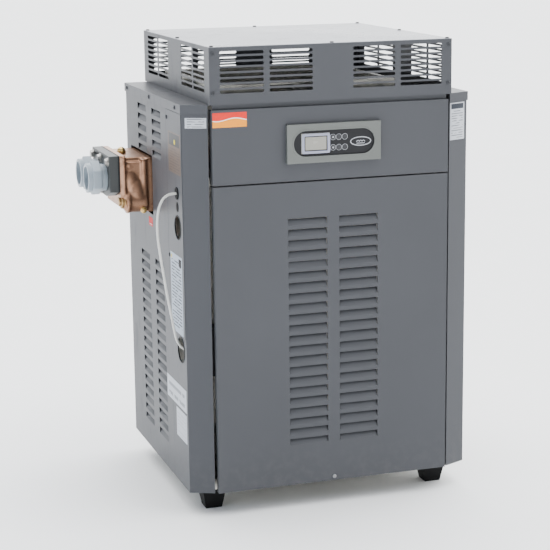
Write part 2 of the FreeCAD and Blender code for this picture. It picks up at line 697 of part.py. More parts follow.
def make_screws():
    inset = of.cage_flange / 2
    middle = (cage_span[0] + cage_span[1]) / 2
    x_side, y_side = cage_half - inset, cage_span[1] - inset
    around = [(x, y) for x in (-x_side, size(0), x_side) for y in (cage_span[0] + inset, middle, y_side)
              if not (float(x) == 0 and y is middle)]
    heads = [screw(f"cover_screw_{n}", "Z", (x, y, cage_top), 1) for n, (x, y) in enumerate(around)]
    cage_z = (top + of.cage_screw_rise, top + of.slot_first)
    for number, (side, z) in enumerate((s, z) for s in (-1, 1) for z in cage_z):
        heads.append(screw(f"cage_screw_{number}", "Y", (side * x_side, cage_span[0], z), -1))
    subpart(together("cage_screws", heads), "cage_screws")
    flange_z = top - of.lid_flange / 2
    heads = []
    for side in (-1, 1):
        for y in (of.hole_y, lid_rear * of.lid_screw_share, lid_rear - of.lid_screw_margin):
            name = f"lid_screw_{len(heads)}"
            heads.append(screw(name, "X", (side * lid_half, y, flange_z), side))
    for x in (-half * of.rear_screw_share, size(0), half * of.rear_screw_share):
        heads.append(screw(f"lid_screw_{len(heads)}", "Y", (x, lid_rear, flange_z), 1))
    for z in (of.cover_low + of.cover_screw_end, of.cover_low + of.cover_screw_middle,
              cover_top - of.cover_screw_end):
        heads.append(screw(f"lid_screw_{len(heads)}", "X",
                           (cover_face, of.cover_rear - of.cover_lap / 2, z), -1))
    subpart(together("jacket_screws", heads), "jacket_screws")
    door = screw("door_screw", "Y", (size(0), door_face, of.door_screw_height), -1)
    subpart(door, "door_screw")


# ---- water side ----

def make_water_header():
    """The bronze in and out casting: two chambers, a bypass bore and the manifold on the tube sheet."""
    body = new_body("inout_header")
    rib_x = bronze_x + of.bronze_rib
    manifold_x = -sheet_outer - of.manifold_depth
    y, z = bronze_span, (bronze_low, bronze_top)
    grow(body, "flange_face", "X", (bronze_x, rib_x), flange_outline())
    corner = of.bronze_corner
    shoulder = polygon((y[0], z[0]), (y[1], z[0]), (y[1], z[1] - corner), (y[1] - corner, z[1]),
                       (y[0] + corner / 2, z[1]), (y[0], z[1] - corner / 2))
    grow(body, "chest", "X", (rib_x, manifold_x), shoulder)
    box_y, box_z = (bank_front, y[1]), span_about(water_z, of.header_tall)
    grow(body, "manifold", "X", (manifold_x, -sheet_outer), oblong(box_y, box_z))
    wall, web = of.bronze_wall, of.bronze_wall / 2
    chest = (rib_x + wall, manifold_x)
    low = bypass_z + of.bypass_radius + wall
    fronts = (y[0] + wall, water_mid - web)
    backs = (water_mid + web, y[1] - wall)
    for name, chamber in (("outlet_chamber", fronts), ("inlet_chamber", backs)):
        carve(body, name, "X", chest, oblong(chamber, (low, z[1] - wall - web)))
    inner_z = (box_z[0] + of.header_wall, box_z[1] - of.header_wall)
    carve(body, "hot_manifold", "X", (manifold_x, -sheet_outer),
          oblong((box_y[0] + of.header_wall, water_mid - web), inner_z))
    carve(body, "cold_manifold", "X", (manifold_x, -sheet_outer),
          oblong((water_mid + web, y[1] - wall), inner_z))
    carve(body, "ports", "X", (bronze_x, chest[0]),
          ring((of.water_front, water_z), of.waterway),
          ring((of.water_front + of.water_pitch, water_z), of.waterway))
    carve(body, "bypass_bore", "X", (rib_x, poppet_x), ring((bypass_y, bypass_z), of.bypass_bore))
    carve(body, "bypass_seat", "X", (poppet_x, poppet_x + wall), ring((bypass_y, bypass_z), of.bypass_seat))
    carve(body, "bolt_holes", "X", (bronze_x, bronze_x + of.bronze_rib),
          *[ring(spot, of.bolt_radius + of.hole_clear) for spot in bolt_spots()])
    subpart(body, "inout_header")


def flange_outline():
    """The four-cornered pipe flange, with its two lower corners cut away."""
    y = span_about(water_mid, of.flange_wide)
    z = (water_z - of.flange_fall, water_z + of.flange_rise)
    return polygon((y[0], z[1]), (y[0], z[0] + of.flange_cut_tall),
                   (y[0] + of.flange_cut_wide, z[0]), (y[1] - of.flange_cut_wide, z[0]),
                   (y[1], z[0] + of.flange_cut_tall), (y[1], z[1]))


def bolt_spots():
    reach = of.flange_wide / 2 - of.bolt_edge
    high, low = water_z + of.bolt_rise, water_z - of.bolt_fall
    return ((water_mid - reach, high), (water_mid, high), (water_mid + reach, high), (water_mid, low))


def make_pipe_flange():
    ports = [ring((of.water_front, water_z), of.waterway),
             ring((of.water_front + of.water_pitch, water_z), of.waterway)]
    bolts = [ring(spot, of.bolt_radius + of.hole_clear) for spot in bolt_spots()]
    for name, x in (("pipe_flange", (flange_x, gasket_x)), ("flange_gasket", (gasket_x, bronze_x))):
        body = new_body(name)
        grow(body, name + "_plate", "X", x, flange_outline(), *ports, *bolts)
        subpart(body, name)
    pieces = []
    for number, spot in enumerate(bolt_spots()):
        head = hexagon(f"bolt_head_{number}", "X", (flange_x - of.bolt_head, flange_x), spot, of.bolt_flats)
        shank = rod(f"bolt_shank_{number}", "X", (flange_x, flange_x + of.bolt_depth), spot, of.bolt_radius)
        pieces.append(fused(f"bolt_{number}", head, shank))
    subpart(together("flange_bolts", pieces), "flange_bolts")


def make_connector(name, y):
    spot = (y, water_z)
    collar = hexagon(name + "_hex", "X", (mouth_x + of.mouth_length, flange_x), spot, of.connector_hex)
    mouth = rod(name + "_mouth", "X", (mouth_x, mouth_x + of.mouth_length), spot, of.mouth_radius)
    socket = rod(name + "_socket", "X", (mouth_x, mouth_x + of.socket_depth), spot, of.socket_radius)
    way = rod(name + "_way", "X", (mouth_x, flange_x), spot, of.waterway)
    subpart(cut(name, fused(name + "_outside", mouth, collar), socket, way), name)


def make_header_fittings():
    governor = (bronze_x + of.governor_x, water_mid)
    base = rod("governor_base", "Z", (bronze_top, bronze_top + of.governor_base), governor,
               of.governor_radius)
    dome = taper("governor_dome_top", "Z",
                 (bronze_top + of.governor_base, bronze_top + of.governor_base + of.governor_dome),
                 governor, (of.governor_radius, of.governor_radius / 2))
    subpart(fused("governor_cap", base, dome), "governor_cap")
    rib_x = bronze_x + of.bronze_rib
    spot = (bypass_y, bypass_z)
    subpart(rod("bypass_cap", "X", (rib_x - of.bypass_reach, rib_x), spot, of.bypass_radius), "bypass_cap")
    subpart(rod("bypass_poppet", "X", (poppet_x - of.poppet_thick, poppet_x), spot,
                of.bypass_bore - of.bypass_clear), "bypass_poppet")
    plug = (bronze_x + of.drain_x, bronze_low + of.drain_rise)
    subpart(hexagon("drain_plug", "Y", (bronze_span[0] - of.drain_reach, bronze_span[0]), plug,
                    2 * of.drain_radius), "drain_plug")


def make_bypass_spring():
    """The bypass spring at its pressed length, seated on the cap."""
    length = float(of.bypass_length - of.poppet_thick - of.bypass_travel - of.spring_wire)
    start = float(bronze_x + of.bronze_rib + of.spring_wire / 2)
    helix = Part.makeHelix(float(of.spring_pitch), length, float(of.spring_radius))
    wire = Part.Wire(helix.Edges)
    ring_spot = FreeCAD.Vector(float(of.spring_radius), 0, 0)
    section = Part.makeCircle(float(of.spring_wire) / 2, ring_spot, FreeCAD.Vector(0, 1, 0))
    coil = wire.makePipeShell([Part.Wire([section])], True, True)
    coil.rotate(FreeCAD.Vector(), FreeCAD.Vector(0, 1, 0), 90)
    coil.translate(FreeCAD.Vector(start, float(bypass_y), float(bypass_z)))
    spring = doc.addObject("Part::Feature", "bypass_spring")
    spring.Shape = Part.makeCompound([coil])
    subpart(spring, "bypass_spring")


# ---- heat exchanger ----

def tube_places():
    return [of.tube_first + of.tube_pitch * n for n in range(round(float(of.tube_count)))]


def make_tubes():
    """Copper tubes with a row of thin round fins, each tube one solid turned from its outline."""
    end, fin = float(sheet_outer), float(of.fin_radius)
    outer, inner = float(of.tube_radius), float(of.tube_radius - of.tube_wall)
    reach = float(of.bank_half - of.fin_margin)
    thick, pitch = float(of.fin_thick), float(of.fin_pitch)
    outline = [(-end, inner), (-end, outer)]
    for n in range(int(2 * reach / pitch) + 1):
        x = -reach + n * pitch
        outline += [(x, outer), (x, fin), (x + thick, fin), (x + thick, outer)]
    outline += [(end, outer), (end, inner), (-end, inner)]
    face = Part.Face(Part.makePolygon([FreeCAD.Vector(x, 0, r) for x, r in outline]))
    turned = face.revolve(FreeCAD.Vector(), FreeCAD.Vector(1, 0, 0), 360)
    tubes = []
    for y in tube_places():
        tube = turned.copy()
        tube.translate(FreeCAD.Vector(0, float(y), float(water_z)))
        tubes.append(tube)
    bank = doc.addObject("Part::Feature", "finned_tubes")
    bank.Shape = Part.makeCompound(tubes)
    subpart(bank, "finned_tubes")


def make_tube_sheets():
    for name, x in (("tube_sheet_left", (-sheet_outer, -of.bank_half)),
                    ("tube_sheet_right", (of.bank_half, sheet_outer))):
        body = new_body(name)
        holes = [ring((y, water_z), of.tube_radius + of.hole_clear) for y in tube_places()]
        grow(body, name + "_plate", "X", x,
             oblong((bank_front, bank_rear), (sheet_low, sheet_top)), *holes)
        subpart(body, name)


def make_return_header():
    x = (sheet_outer, sheet_outer + of.return_depth)
    wall = of.header_wall
    z = span_about(water_z, of.header_tall)
    shell = block("return_shell", x, (bank_front, bank_rear), z)
    hollow = block("return_hollow", (x[0], x[1] - wall), (bank_front + wall, bank_rear - wall),
                   (z[0] + wall, z[1] - wall))
    subpart(cut("return_header", shell, hollow), "return_header")


# ---- combustion chamber and burner ----

def make_refractory():
    x = (-sheet_outer, sheet_outer)
    high = sheet_top
    subpart(block("refractory_front", x, (chamber_outer[0], chamber_inner[0]), (chamber_low, high)),
            "refractory_front")
    subpart(block("refractory_rear", x, (chamber_inner[1], chamber_outer[1]), (chamber_low, high)),
            "refractory_rear")
    slabs = []
    for name, side in (("refractory_left", -1), ("refractory_right", 1)):
        ends = sorted((side * sheet_outer, side * (sheet_outer - of.chamber_wall)), key=float)
        slabs.append(block(name, ends, chamber_inner, (chamber_low, sheet_low)))
    subpart(together("refractory_sides", slabs), "refractory_sides")


def burner_places():
    count = round(float(of.burner_count))
    return [of.burner_pitch * (n - (count - 1) / 2) for n in range(count)]


def make_burner_tray():
    body = new_body("burner_tray")
    side = sheet_outer - of.chamber_wall
    outer = oblong((-side, side), chamber_inner)
    inner = oblong((-side + of.metal, side - of.metal),
                   (chamber_inner[0] + of.metal, chamber_inner[1] - of.metal))
    grow(body, "tray_walls", "Z", (of.metal, chamber_low), outer, inner)
    places = burner_places()
    air = [oblong(span_about((a + b) / 2, of.air_slot),
                  (chamber_inner[0] + of.chamber_wall, chamber_inner[1] - of.chamber_wall))
           for a, b in zip(places, places[1:])]
    grow(body, "tray_floor", "Z", (of.tray_low, of.tray_low + of.metal), outer, *air)
    grow(body, "tray_flange", "Z", (chamber_low - of.metal, chamber_low),
         oblong((-sheet_outer, sheet_outer), chamber_outer), inner)
    carve(body, "spud_holes", "Y", (chamber_inner[0] - of.metal, chamber_inner[0] + 2 * of.metal),
          *[ring((x, burner_z), of.spud_radius + of.bush_fit) for x in places])
    subpart(body, "burner_tray")


def make_burners():
    y = (chamber_inner[0] + of.metal + of.burner_end_gap, chamber_inner[1] - of.metal - of.burner_end_gap)
    tubes = []
    for n, x in enumerate(burner_places()):
        spot = (x, burner_z)
        tube = rod(f"burner_tube_{n}", "Y", y, spot, of.burner_radius)
        bore = rod(f"burner_bore_{n}", "Y", (y[0], y[1] - of.metal), spot, of.burner_bore)
        slit = block(f"burner_slit_{n}", span_about(x, 2 * of.metal),
                     (y[0] + of.chamber_wall, y[1] - of.chamber_wall),
                     (burner_z, burner_z + of.burner_radius))
        tubes.append(cut(f"burner_{n}", tube, bore, slit))
    subpart(together("burners", tubes), "burners")


def make_gas_train():
    manifold_y = chamber_inner[0] - of.manifold_set
    x_end = of.burner_pitch * (of.burner_count - 1) / 2 + of.manifold_end
    pipe = rod("manifold_tube", "X", (-x_end, x_end), (manifold_y, burner_z), of.manifold_radius)
    bore = rod("manifold_bore_cut", "X", (-x_end + of.metal, x_end - of.metal), (manifold_y, burner_z),
               of.manifold_bore)
    spuds = [rod(f"spud_{n}", "Y", (manifold_y + of.manifold_bore,
                                    chamber_inner[0] + of.metal + of.spud_reach),
                 (x, burner_z), of.spud_radius) for n, x in enumerate(burner_places())]
    valve_x = span_about(of.valve_x, of.valve_wide)
    valve_y = (of.gas_y - of.valve_deep / 2, of.gas_y + of.valve_deep / 2)
    neck = rod("valve_neck", "Y", (valve_y[1], manifold_y - of.manifold_bore),
               (of.valve_x, burner_z), of.valve_neck)
    subpart(fused("gas_manifold", cut("manifold_pipe", pipe, bore), neck, *spuds), "gas_manifold")
    valve_top = burner_z + of.valve_tall / 2
    case = block("valve_case", valve_x, valve_y, (burner_z - of.valve_tall / 2, valve_top))
    well = rod("valve_well", "Z", (valve_top - of.knob_depth, valve_top), (of.valve_x, of.gas_y),
               of.knob_stem + of.knob_clear)
    subpart(cut("gas_valve", case, well), "gas_valve")
    lift = valve_top + of.knob_lift
    grip = rod("knob_disc", "Z", (lift, lift + of.knob_height / 2), (of.valve_x, of.gas_y), of.knob_radius)
    bar = block("knob_bar", span_about(of.valve_x, 2 * of.knob_radius - of.knob_grip),
                span_about(of.gas_y, of.knob_grip), (lift, lift + of.knob_height))
    stem = rod("knob_stem_rod", "Z", (valve_top - of.knob_depth + of.knob_lift, lift),
               (of.valve_x, of.gas_y), of.knob_stem)
    subpart(fused("gas_valve_knob", grip, bar, stem), "gas_valve_knob")
    spot = (of.gas_y, burner_z)
    run = rod("gas_run", "X", (valve_x[1], half), spot, of.gas_radius)
    socket = rod("gas_socket_end", "X", (half - of.gas_socket_length, half), spot, of.gas_socket)
    thread = rod("gas_thread", "X", (half - of.gas_thread_length, half), spot, of.gas_thread_bore)
    way = rod("gas_way", "X", (valve_x[1], half), spot, of.gas_bore)
    subpart(cut("gas_pipe", fused("gas_pipe_outside", run, socket), thread, way), "gas_pipe")


# ---- controls ----

def make_bezel():
    body = new_body("control_bezel")
    y = (bezel_face, door_face)
    edge = oblong(span_about(size(0), of.bezel_wide), span_about(bezel_z, of.bezel_tall))
    run = (-of.pill_run, of.pill_run)
    grow(body, "bezel_frame", "Y", y, edge, pill(run, bezel_z, of.pill_radius))
    carve(body, "fascia_seat", "Y", (fascia_y, door_face),
          pill(run, bezel_z, of.pill_radius + of.fascia_lap))
    subpart(body, "control_bezel")
    fascia = new_body("keypad_fascia")
    keys = [ring(spot, of.key_radius + of.key_clear) for spot in key_spots().values()]
    opening = oblong(span_about(of.lcd_x, of.lcd_wide - 2 * of.lcd_lap),
                     span_about(bezel_z, of.lcd_tall - 2 * of.lcd_lap))
    grow(fascia, "fascia_plate", "Y", (fascia_y, fascia_y + of.fascia_thick),
         pill(run, bezel_z, of.pill_radius + of.fascia_lap - of.fascia_clear), opening, *keys)
    subpart(fascia, "keypad_fascia")
    lens = block("display_window", span_about(of.lcd_x, of.lcd_wide), (fascia_y - of.lcd_proud, fascia_y),
                 span_about(bezel_z, of.lcd_tall))
    subpart(lens, "display_window")


def key_spots():
    high, low = bezel_z + of.key_rise, bezel_z - of.key_rise
    x = [of.key_first + of.key_step * n for n in range(3)]
    return {"key_up": (x[0], high), "key_down": (x[0], low), "key_mode": (x[1], high),
            "key_program": (x[1], low), "key_pool": (x[2], high), "key_spa": (x[2], low)}


def make_keys():
    back = fascia_y + of.fascia_thick + of.key_clear
    for name, spot in key_spots().items():
        button = rod(name + "_button", "Y", (fascia_y - of.key_proud, back), spot, of.key_radius)
        collar = rod(name + "_collar", "Y", (back, back + of.key_collar_thick), spot,
                     of.key_radius + of.key_collar)
        subpart(fused(name, button, collar), name)


def make_board():
    x, z = span_about(size(0), of.bezel_wide), span_about(bezel_z, of.bezel_tall)
    y = door_face + of.board_set
    pieces = [block("board_sheet", x, (y, y + of.board_thick), z)]
    for sx in (x[0] + of.board_edge, x[1] - of.board_edge):
        for sz in (z[0] + of.board_edge, z[1] - of.board_edge):
            pieces.append(rod(f"board_post_{len(pieces)}", "Y", (door_face + of.metal, y), (sx, sz),
                              of.board_post))
    subpart(fused("circuit_board", *pieces), "circuit_board")


def make_electrics():
    x0 = module_face
    y = (chamber_outer[0] - of.module_gap - of.module_wide, chamber_outer[0] - of.module_gap)
    z0 = of.entry_height - of.module_fall
    case = block("module_case", (x0, x0 + of.module_deep), y, (z0, z0 + of.module_tall))
    tab = block("module_tab_plate", (-half + of.metal, x0 + of.module_tab),
                (y[0], y[0] + of.module_tab), (z0, z0 + of.module_tall))
    subpart(fused("ignition_module", case, tab), "ignition_module")
    spot = (of.switch_y, top - of.switch_drop)
    disc = rod("switch_disc", "X", (half - of.metal - of.switch_thick, half - of.metal), spot,
               of.switch_radius)
    nipple = rod("switch_nipple", "X", (half - of.metal - 2 * of.switch_thick,
                                        half - of.metal - of.switch_thick), spot, of.bolt_radius)
    subpart(fused("pressure_switch", disc, nipple), "pressure_switch")


# ---- supply cable ----

# The cable's corners: how far out from the bush, how far back from the bush's axis, and the fall
# below the bush. The falls are those of a cable that drops CABLE_DROP from its bush to the module.
CABLE_DROP = 315.4
CABLE_ROUTE = [
    (0.0, 0.0, 0.0), (11.0, 0.0, 0.0), (21.2, -0.6, 4.1), (29.1, -1.4, 11.8), (34.6, -2.2, 23.0),
    (38.4, -3.0, 38.6), (40.3, -3.6, 58.5), (39.8, -4.0, 83.0), (36.4, -3.4, 113.0),
    (30.8, -2.2, 150.0), (24.4, -1.2, 192.0), (17.2, -0.4, 233.0), (11.0, -0.2, 269.0),
    (6.2, 0.2, 292.0), (-0.2, 0.4, 303.3), (-9.3, 0.4, 311.0), (-23.2, 0.0, 315.4),
    (-35.2, 0.0, 315.4),
]


def make_cable():
    """White supply cable: from its bush in the access cover, out in a loop and in at the entry hole."""
    high = top - of.cable_hole_drop
    bush = rod("bush_collar_disc", "X", (bush_face, cover_face), (of.hole_y, high), of.bush_collar)
    plug = rod("bush_plug", "X", (cover_face, cover_face + of.bush_depth), (of.hole_y, high),
               of.knockout_radius - of.bush_fit)
    subpart(fused("cable_bush", bush, plug), "cable_bush")
    scale = float(high - of.entry_height + of.cable_fall) / CABLE_DROP
    points = [FreeCAD.Vector(float(bush_face) - out, float(of.hole_y) + back, float(high) - fall * scale)
              for out, back, fall in CABLE_ROUTE]
    points[-1].x = float(module_face)
    radius = float(of.cable_radius)
    start, edges = points[0], []
    for before, corner, after in zip(points, points[1:], points[2:]):
        come, go = (corner - before), (after - corner)
        turn = come.getAngle(go)
        reach = float(of.cable_bend_share) * min(come.Length, go.Length)
        bend = reach / math.tan(turn / 2)
        come.normalize()
        go.normalize()
        first, last = corner - come * reach, corner + go * reach
        inward = (go - come).normalize()
        middle = corner + inward * (math.hypot(bend, reach) - bend)
        edges += [Part.LineSegment(start, first).toShape(), Part.Arc(first, middle, last).toShape()]
        start = last
    edges.append(Part.LineSegment(start, points[-1]).toShape())
    spine = Part.Wire(edges)
    section = Part.Wire([Part.makeCircle(radius, points[0], points[1] - points[0])])
    tube = spine.makePipeShell([section], True, True)
    print(f"cable length {spine.Length:.1f} mm, volume ratio",
          round(tube.Volume / (math.pi * radius ** 2 * spine.Length), 4))
    cable = doc.addObject("Part::Feature", "supply_cable")
    cable.Shape = tube
    subpart(cable, "supply_cable")


make_base_pan()
make_feet()
make_side_panel("left_side_panel", -1)
make_side_panel("right_side_panel", 1)
make_rear_panel()
make_top_panel()
make_control_panel()
make_front_door()
make_front_rail()
make_access_cover()
make_cage()
make_cage_cover()
make_flue_collector()
make_screws()
make_water_header()
make_pipe_flange()
make_connector("outlet_connector", of.water_front)
make_connector("inlet_connector", of.water_front + of.water_pitch)
make_header_fittings()
make_bypass_spring()
make_tubes()
make_tube_sheets()
make_return_header()
make_refractory()
make_burner_tray()
make_burners()
make_gas_train()
make_bezel()
make_keys()
make_board()
make_electrics()
make_cable()

doc.recompute()
failed = [thing.Name for thing in doc.Objects if {"Invalid", "Error"} & set(thing.State)]
if failed:
    raise RuntimeError(f"features that failed: {failed}")
for thing in SUBPARTS:
    if thing.Shape.isNull() or not thing.Shape.isValid() or not thing.Shape.Solids:
        raise RuntimeError(f"{thing.Label} has no valid solid")
os.makedirs("parts", exist_ok=True)
for thing in SUBPARTS:
    thing.Shape.exportStep(f"parts/{thing.Label}.step")
print(len(SUBPARTS), "sub-parts written")
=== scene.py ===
"""Gas pool heater: finishes for every CAD sub-part, and the detailed pieces that sit on them."""

import json
import math
from contextlib import contextmanager

import bpy
from mathutils import Matrix, Vector


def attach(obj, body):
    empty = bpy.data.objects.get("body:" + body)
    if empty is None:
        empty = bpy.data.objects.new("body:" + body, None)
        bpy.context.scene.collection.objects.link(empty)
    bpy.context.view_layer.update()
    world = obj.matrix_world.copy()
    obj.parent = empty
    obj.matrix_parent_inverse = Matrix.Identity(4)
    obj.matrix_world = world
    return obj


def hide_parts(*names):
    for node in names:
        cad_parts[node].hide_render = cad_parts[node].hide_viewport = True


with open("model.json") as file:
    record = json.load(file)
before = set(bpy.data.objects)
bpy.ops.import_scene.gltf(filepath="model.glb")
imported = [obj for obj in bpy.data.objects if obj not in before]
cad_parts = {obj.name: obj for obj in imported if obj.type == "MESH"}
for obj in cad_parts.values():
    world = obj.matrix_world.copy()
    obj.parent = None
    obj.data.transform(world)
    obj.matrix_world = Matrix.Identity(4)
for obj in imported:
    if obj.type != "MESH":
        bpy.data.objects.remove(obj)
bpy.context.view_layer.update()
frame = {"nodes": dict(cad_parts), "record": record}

CABINET_ORIGIN = Vector((0.061, -0.24175, 0.047))
MM = 0.001

# Places, in the cabinet's millimetres
WIRING_Y = 62
PORT_Y = {"outlet": 315, "inlet": 391}
PORT_Z = 595
WASHER_FACE = -380.8
BYPASS_SPOT = (286, 547)
GOVERNOR_SPOT = (-336.9, 353)
KEY_SPOTS = {"key_up": (-2.2, 698.1), "key_down": (-2.2, 677.9), "key_mode": (10.0, 698.1),
             "key_program": (10.0, 677.9), "key_pool": (22.2, 698.1), "key_spa": (22.2, 677.9)}
BADGE_SPOT = (54.9, 687.4)
BEZEL_HALF_RUN = 58
BEZEL_Z = 688
CHAMFER_MIDDLE = (269.2, 11.7)
CHAMFER_LEAN = math.atan2(20.48, 46.35)
FOLD_X, FOLD_Y, FOLD_RADIUS = 240.85, -4.7, 1.45

# Spans of thin layers: in X on the left side, in Y on the fascia, which the last one cuts through
SKIN_FILM = (-294.5, -294.28)
SKIN_MARK = (-294.65, -294.45)
COVER_FILM = (-295.7, -295.48)
COVER_MARK = (-295.78, -295.6)
COVER_SPOT = (-295.88, -295.68)
KEY_RING = (-12.75, -12.45)
BADGE_RIM = (-13.0, -12.4)
BADGE_WAVE = (-12.9, -12.4)
THROUGH_FASCIA = (-14, -11)

PAINT = (0.066, 0.068, 0.075)
WHITE_PAPER = (0.50, 0.52, 0.56)
DARK_PRINT = (0.045, 0.050, 0.060)

# Strength of the studio's glow: at the sides, overhead and along the horizon
DIM_SIDE = 0.35
BRIGHT_TOP = 5.6
PALE_HORIZON = 2.6


def at(x, y, z):
    """A place measured in millimetres from the lid's front edge, mid-width, at the cabinet's underside."""
    return Vector((x, y, z)) * MM + CABINET_ORIGIN


# ---- camera ----

CAMERA_PLACE = (-1.04313, -3.28824, 1.17527)
CAMERA_LENS = 110.187
CAMERA_HEADING = -0.312784
CAMERA_DIP = 0.213949
CAMERA_ROLL = -0.01229


def aim_camera():
    view = bpy.data.cameras.new("camera")
    view.sensor_width = 36.0
    view.lens = CAMERA_LENS
    camera = bpy.data.objects.new("camera", view)
    bpy.context.scene.collection.objects.link(camera)
    turn = (Matrix.Rotation(CAMERA_HEADING, 4, "Z") @ Matrix.Rotation(math.pi / 2 - CAMERA_DIP, 4, "X")
            @ Matrix.Rotation(CAMERA_ROLL, 4, "Z"))
    camera.matrix_world = Matrix.Translation(CAMERA_PLACE) @ turn
    bpy.context.scene.camera = camera


# ---- shader values ----

class Value:
    """One output of a shader node, which takes part in sums."""

    def __init__(self, finish, socket):
        self.finish = finish
        self.socket = socket

    def _sum(self, operation, first, second):
        return self.finish.node("ShaderNodeMath", {"operation": operation}, {0: first, 1: second})

    def __add__(self, other):
        return self._sum("ADD", self, other)

    def __sub__(self, other):
        return self._sum("SUBTRACT", self, other)

    def __mul__(self, other):
        return self._sum("MULTIPLY", self, other)

    def __truediv__(self, other):
        return self._sum("DIVIDE", self, other)

    def __gt__(self, other):
        return self._sum("GREATER_THAN", self, other)

    def __lt__(self, other):
        return self._sum("LESS_THAN", self, other)

    def __rsub__(self, other):
        return self._sum("SUBTRACT", other, self)

    __radd__ = __add__
    __rmul__ = __mul__

    def within(self, low, high):
        return (self > low) * (self < high)

    def part(self, pitch):
        """How far along its own repeat, from 0 to 1."""
        return self.finish.node("ShaderNodeMath", {"operation": "FRACT"}, {0: self / pitch})


class Finish:
    """A material built up from a Principled shader."""

    def __init__(self, name, **constants):
        self.material = bpy.data.materials.new(name)
        self.material.use_nodes = True
        self.tree = self.material.node_tree
        self.shader = self.tree.nodes["Principled BSDF"]
        for socket, value in constants.items():
            self.shader.inputs[socket.replace("_", " ")].default_value = value
        texture_place = self.node("ShaderNodeTexCoord", output="Object")
        self.place = texture_place
        parts = self.tree.nodes.new("ShaderNodeSeparateXYZ")
        self.tree.links.new(texture_place.socket, parts.inputs[0])
        self.x, self.y, self.z = (Value(self, parts.outputs[i]) for i in range(3))

    def node(self, kind, settings=None, inputs=None, output=0):
        made = self.tree.nodes.new(kind)
        for key, value in (settings or {}).items():
            if key == "stops":
                ramp = made.color_ramp.elements
                while len(ramp) < len(value):
                    ramp.new(0.5)
                for stop, (spot, colour) in zip(ramp, value):
                    stop.position, stop.color = spot, (*colour, 1)
            else:
                setattr(made, key, value)
        for key, value in (inputs or {}).items():
            self.feed(made.inputs[key], value)
        return Value(self, made.outputs[output])

    def feed(self, socket, value):
        if isinstance(value, Value):
            self.tree.links.new(value.socket, socket)
        elif isinstance(value, tuple) and len(value) == 3 and socket.type == "RGBA":
            socket.default_value = (*value, 1)
        else:
            socket.default_value = value

    def noise(self, scale, detail=2.0, roughness=0.5, stretch=None):
        place = self.place
        if stretch:
            place = self.node("ShaderNodeMapping", None, {"Vector": place, "Scale": stretch})
        return self.node("ShaderNodeTexNoise", None,
                         {"Vector": place, "Scale": scale, "Detail": detail, "Roughness": roughness})

    def cells(self, scale, output=0, **settings):
        return self.node("ShaderNodeTexVoronoi", settings, {"Vector": self.place, "Scale": scale}, output)

    def mix(self, amount, first, second):
        return self.node("ShaderNodeMix", {"data_type": "RGBA"}, {0: amount, 6: first, 7: second}, 2)

    def steps(self, amount, low, high):
        """Rises smoothly from 0 to 1 as the amount goes from low to high."""
        return self.node("ShaderNodeMapRange", {"interpolation_type": "SMOOTHSTEP"},
                         {"Value": amount, "From Min": low, "From Max": high})

    def set(self, **varying):
        for socket, value in varying.items():
            self.feed(self.shader.inputs[socket.replace("_", " ")], value)
        return self

    def bump(self, height, strength, distance):
        normal = self.node("ShaderNodeBump", None,
                           {"Height": height, "Strength": strength, "Distance": distance})
        return self.set(Normal=normal)


# ---- finishes ----

def shade(colour, amount):
    return tuple(min(1.0, c * amount) for c in colour)


def powder_coat(name, colour, roughness=0.42):
    """Baked powder coat: fine orange peel, faint uneven tone, dust near the floor, handling marks."""
    paint = Finish(name, Metallic=0.0, Specular_IOR_Level=0.12)
    tone = paint.noise(5, 3)
    smear = paint.steps(paint.noise(26, 5, 0.65, (1, 1, 0.35)), 0.52, 0.78)
    peel = paint.noise(620, 2, 0.6)
    fleck = paint.steps(paint.noise(1900, 1), 0.66, 0.78)
    dust = paint.steps(paint.z + tone * 0.08, 0.22, 0.03) * paint.steps(paint.noise(60, 4), 0.4, 0.75)
    base = paint.mix(tone, shade(colour, 0.92), shade(colour, 1.09))
    base = paint.mix(fleck * 0.25, base, shade(colour, 1.6))
    base = paint.mix(dust * 0.07, base, (0.34, 0.32, 0.29))
    paint.set(Base_Color=base, Roughness=tone * 0.08 + smear * 0.10 + dust * 0.08 + (roughness - 0.06))
    return paint.bump(peel + fleck * 0.4, 0.22, 0.00022)


def spangled_zinc(name, colour, roughness=0.34, soot=0.0):
    """Hot-dip galvanised sheet: large crystal spangles with differing brightness, dulled and streaked."""
    zinc = Finish(name, Metallic=0.92, Specular_IOR_Level=0.5)
    grains = zinc.cells(85, "Color", feature="F1")
    tone = zinc.node("ShaderNodeSeparateColor", None, {0: grains}, 0)
    edge = zinc.steps(zinc.cells(85, 0, feature="DISTANCE_TO_EDGE"), 0.0, 0.05)
    film = zinc.noise(14, 5, 0.6)
    base = zinc.mix(tone, shade(colour, 0.78), shade(colour, 1.18))
    base = zinc.mix(film * (0.25 + soot), base, (0.16, 0.14, 0.12))
    zinc.set(Base_Color=base, Roughness=tone * 0.16 + film * 0.16 + (roughness - 0.08))
    return zinc.bump(tone * 0.6 + edge * 0.5, 0.15, 0.0002)


def bare_metal(name, colour, roughness, scratch=(1, 1, 30), stain=(0.12, 0.09, 0.07), stained=0.25,
               metallic=1.0):
    """Turned, drawn or plated metal with fine directional lines and a thin tarnish."""
    metal = Finish(name, Metallic=metallic)
    lines = metal.noise(420, 2, 0.5, scratch)
    tone = metal.noise(40, 4, 0.6)
    tarnish = metal.steps(metal.noise(95, 5, 0.7), 0.45, 0.8)
    base = metal.mix(tone, shade(colour, 0.82), shade(colour, 1.12))
    base = metal.mix(tarnish * stained, base, stain)
    metal.set(Base_Color=base, Roughness=lines * 0.14 + tarnish * 0.18 + (roughness - 0.07))
    return metal.bump(lines, 0.12, 0.0001)


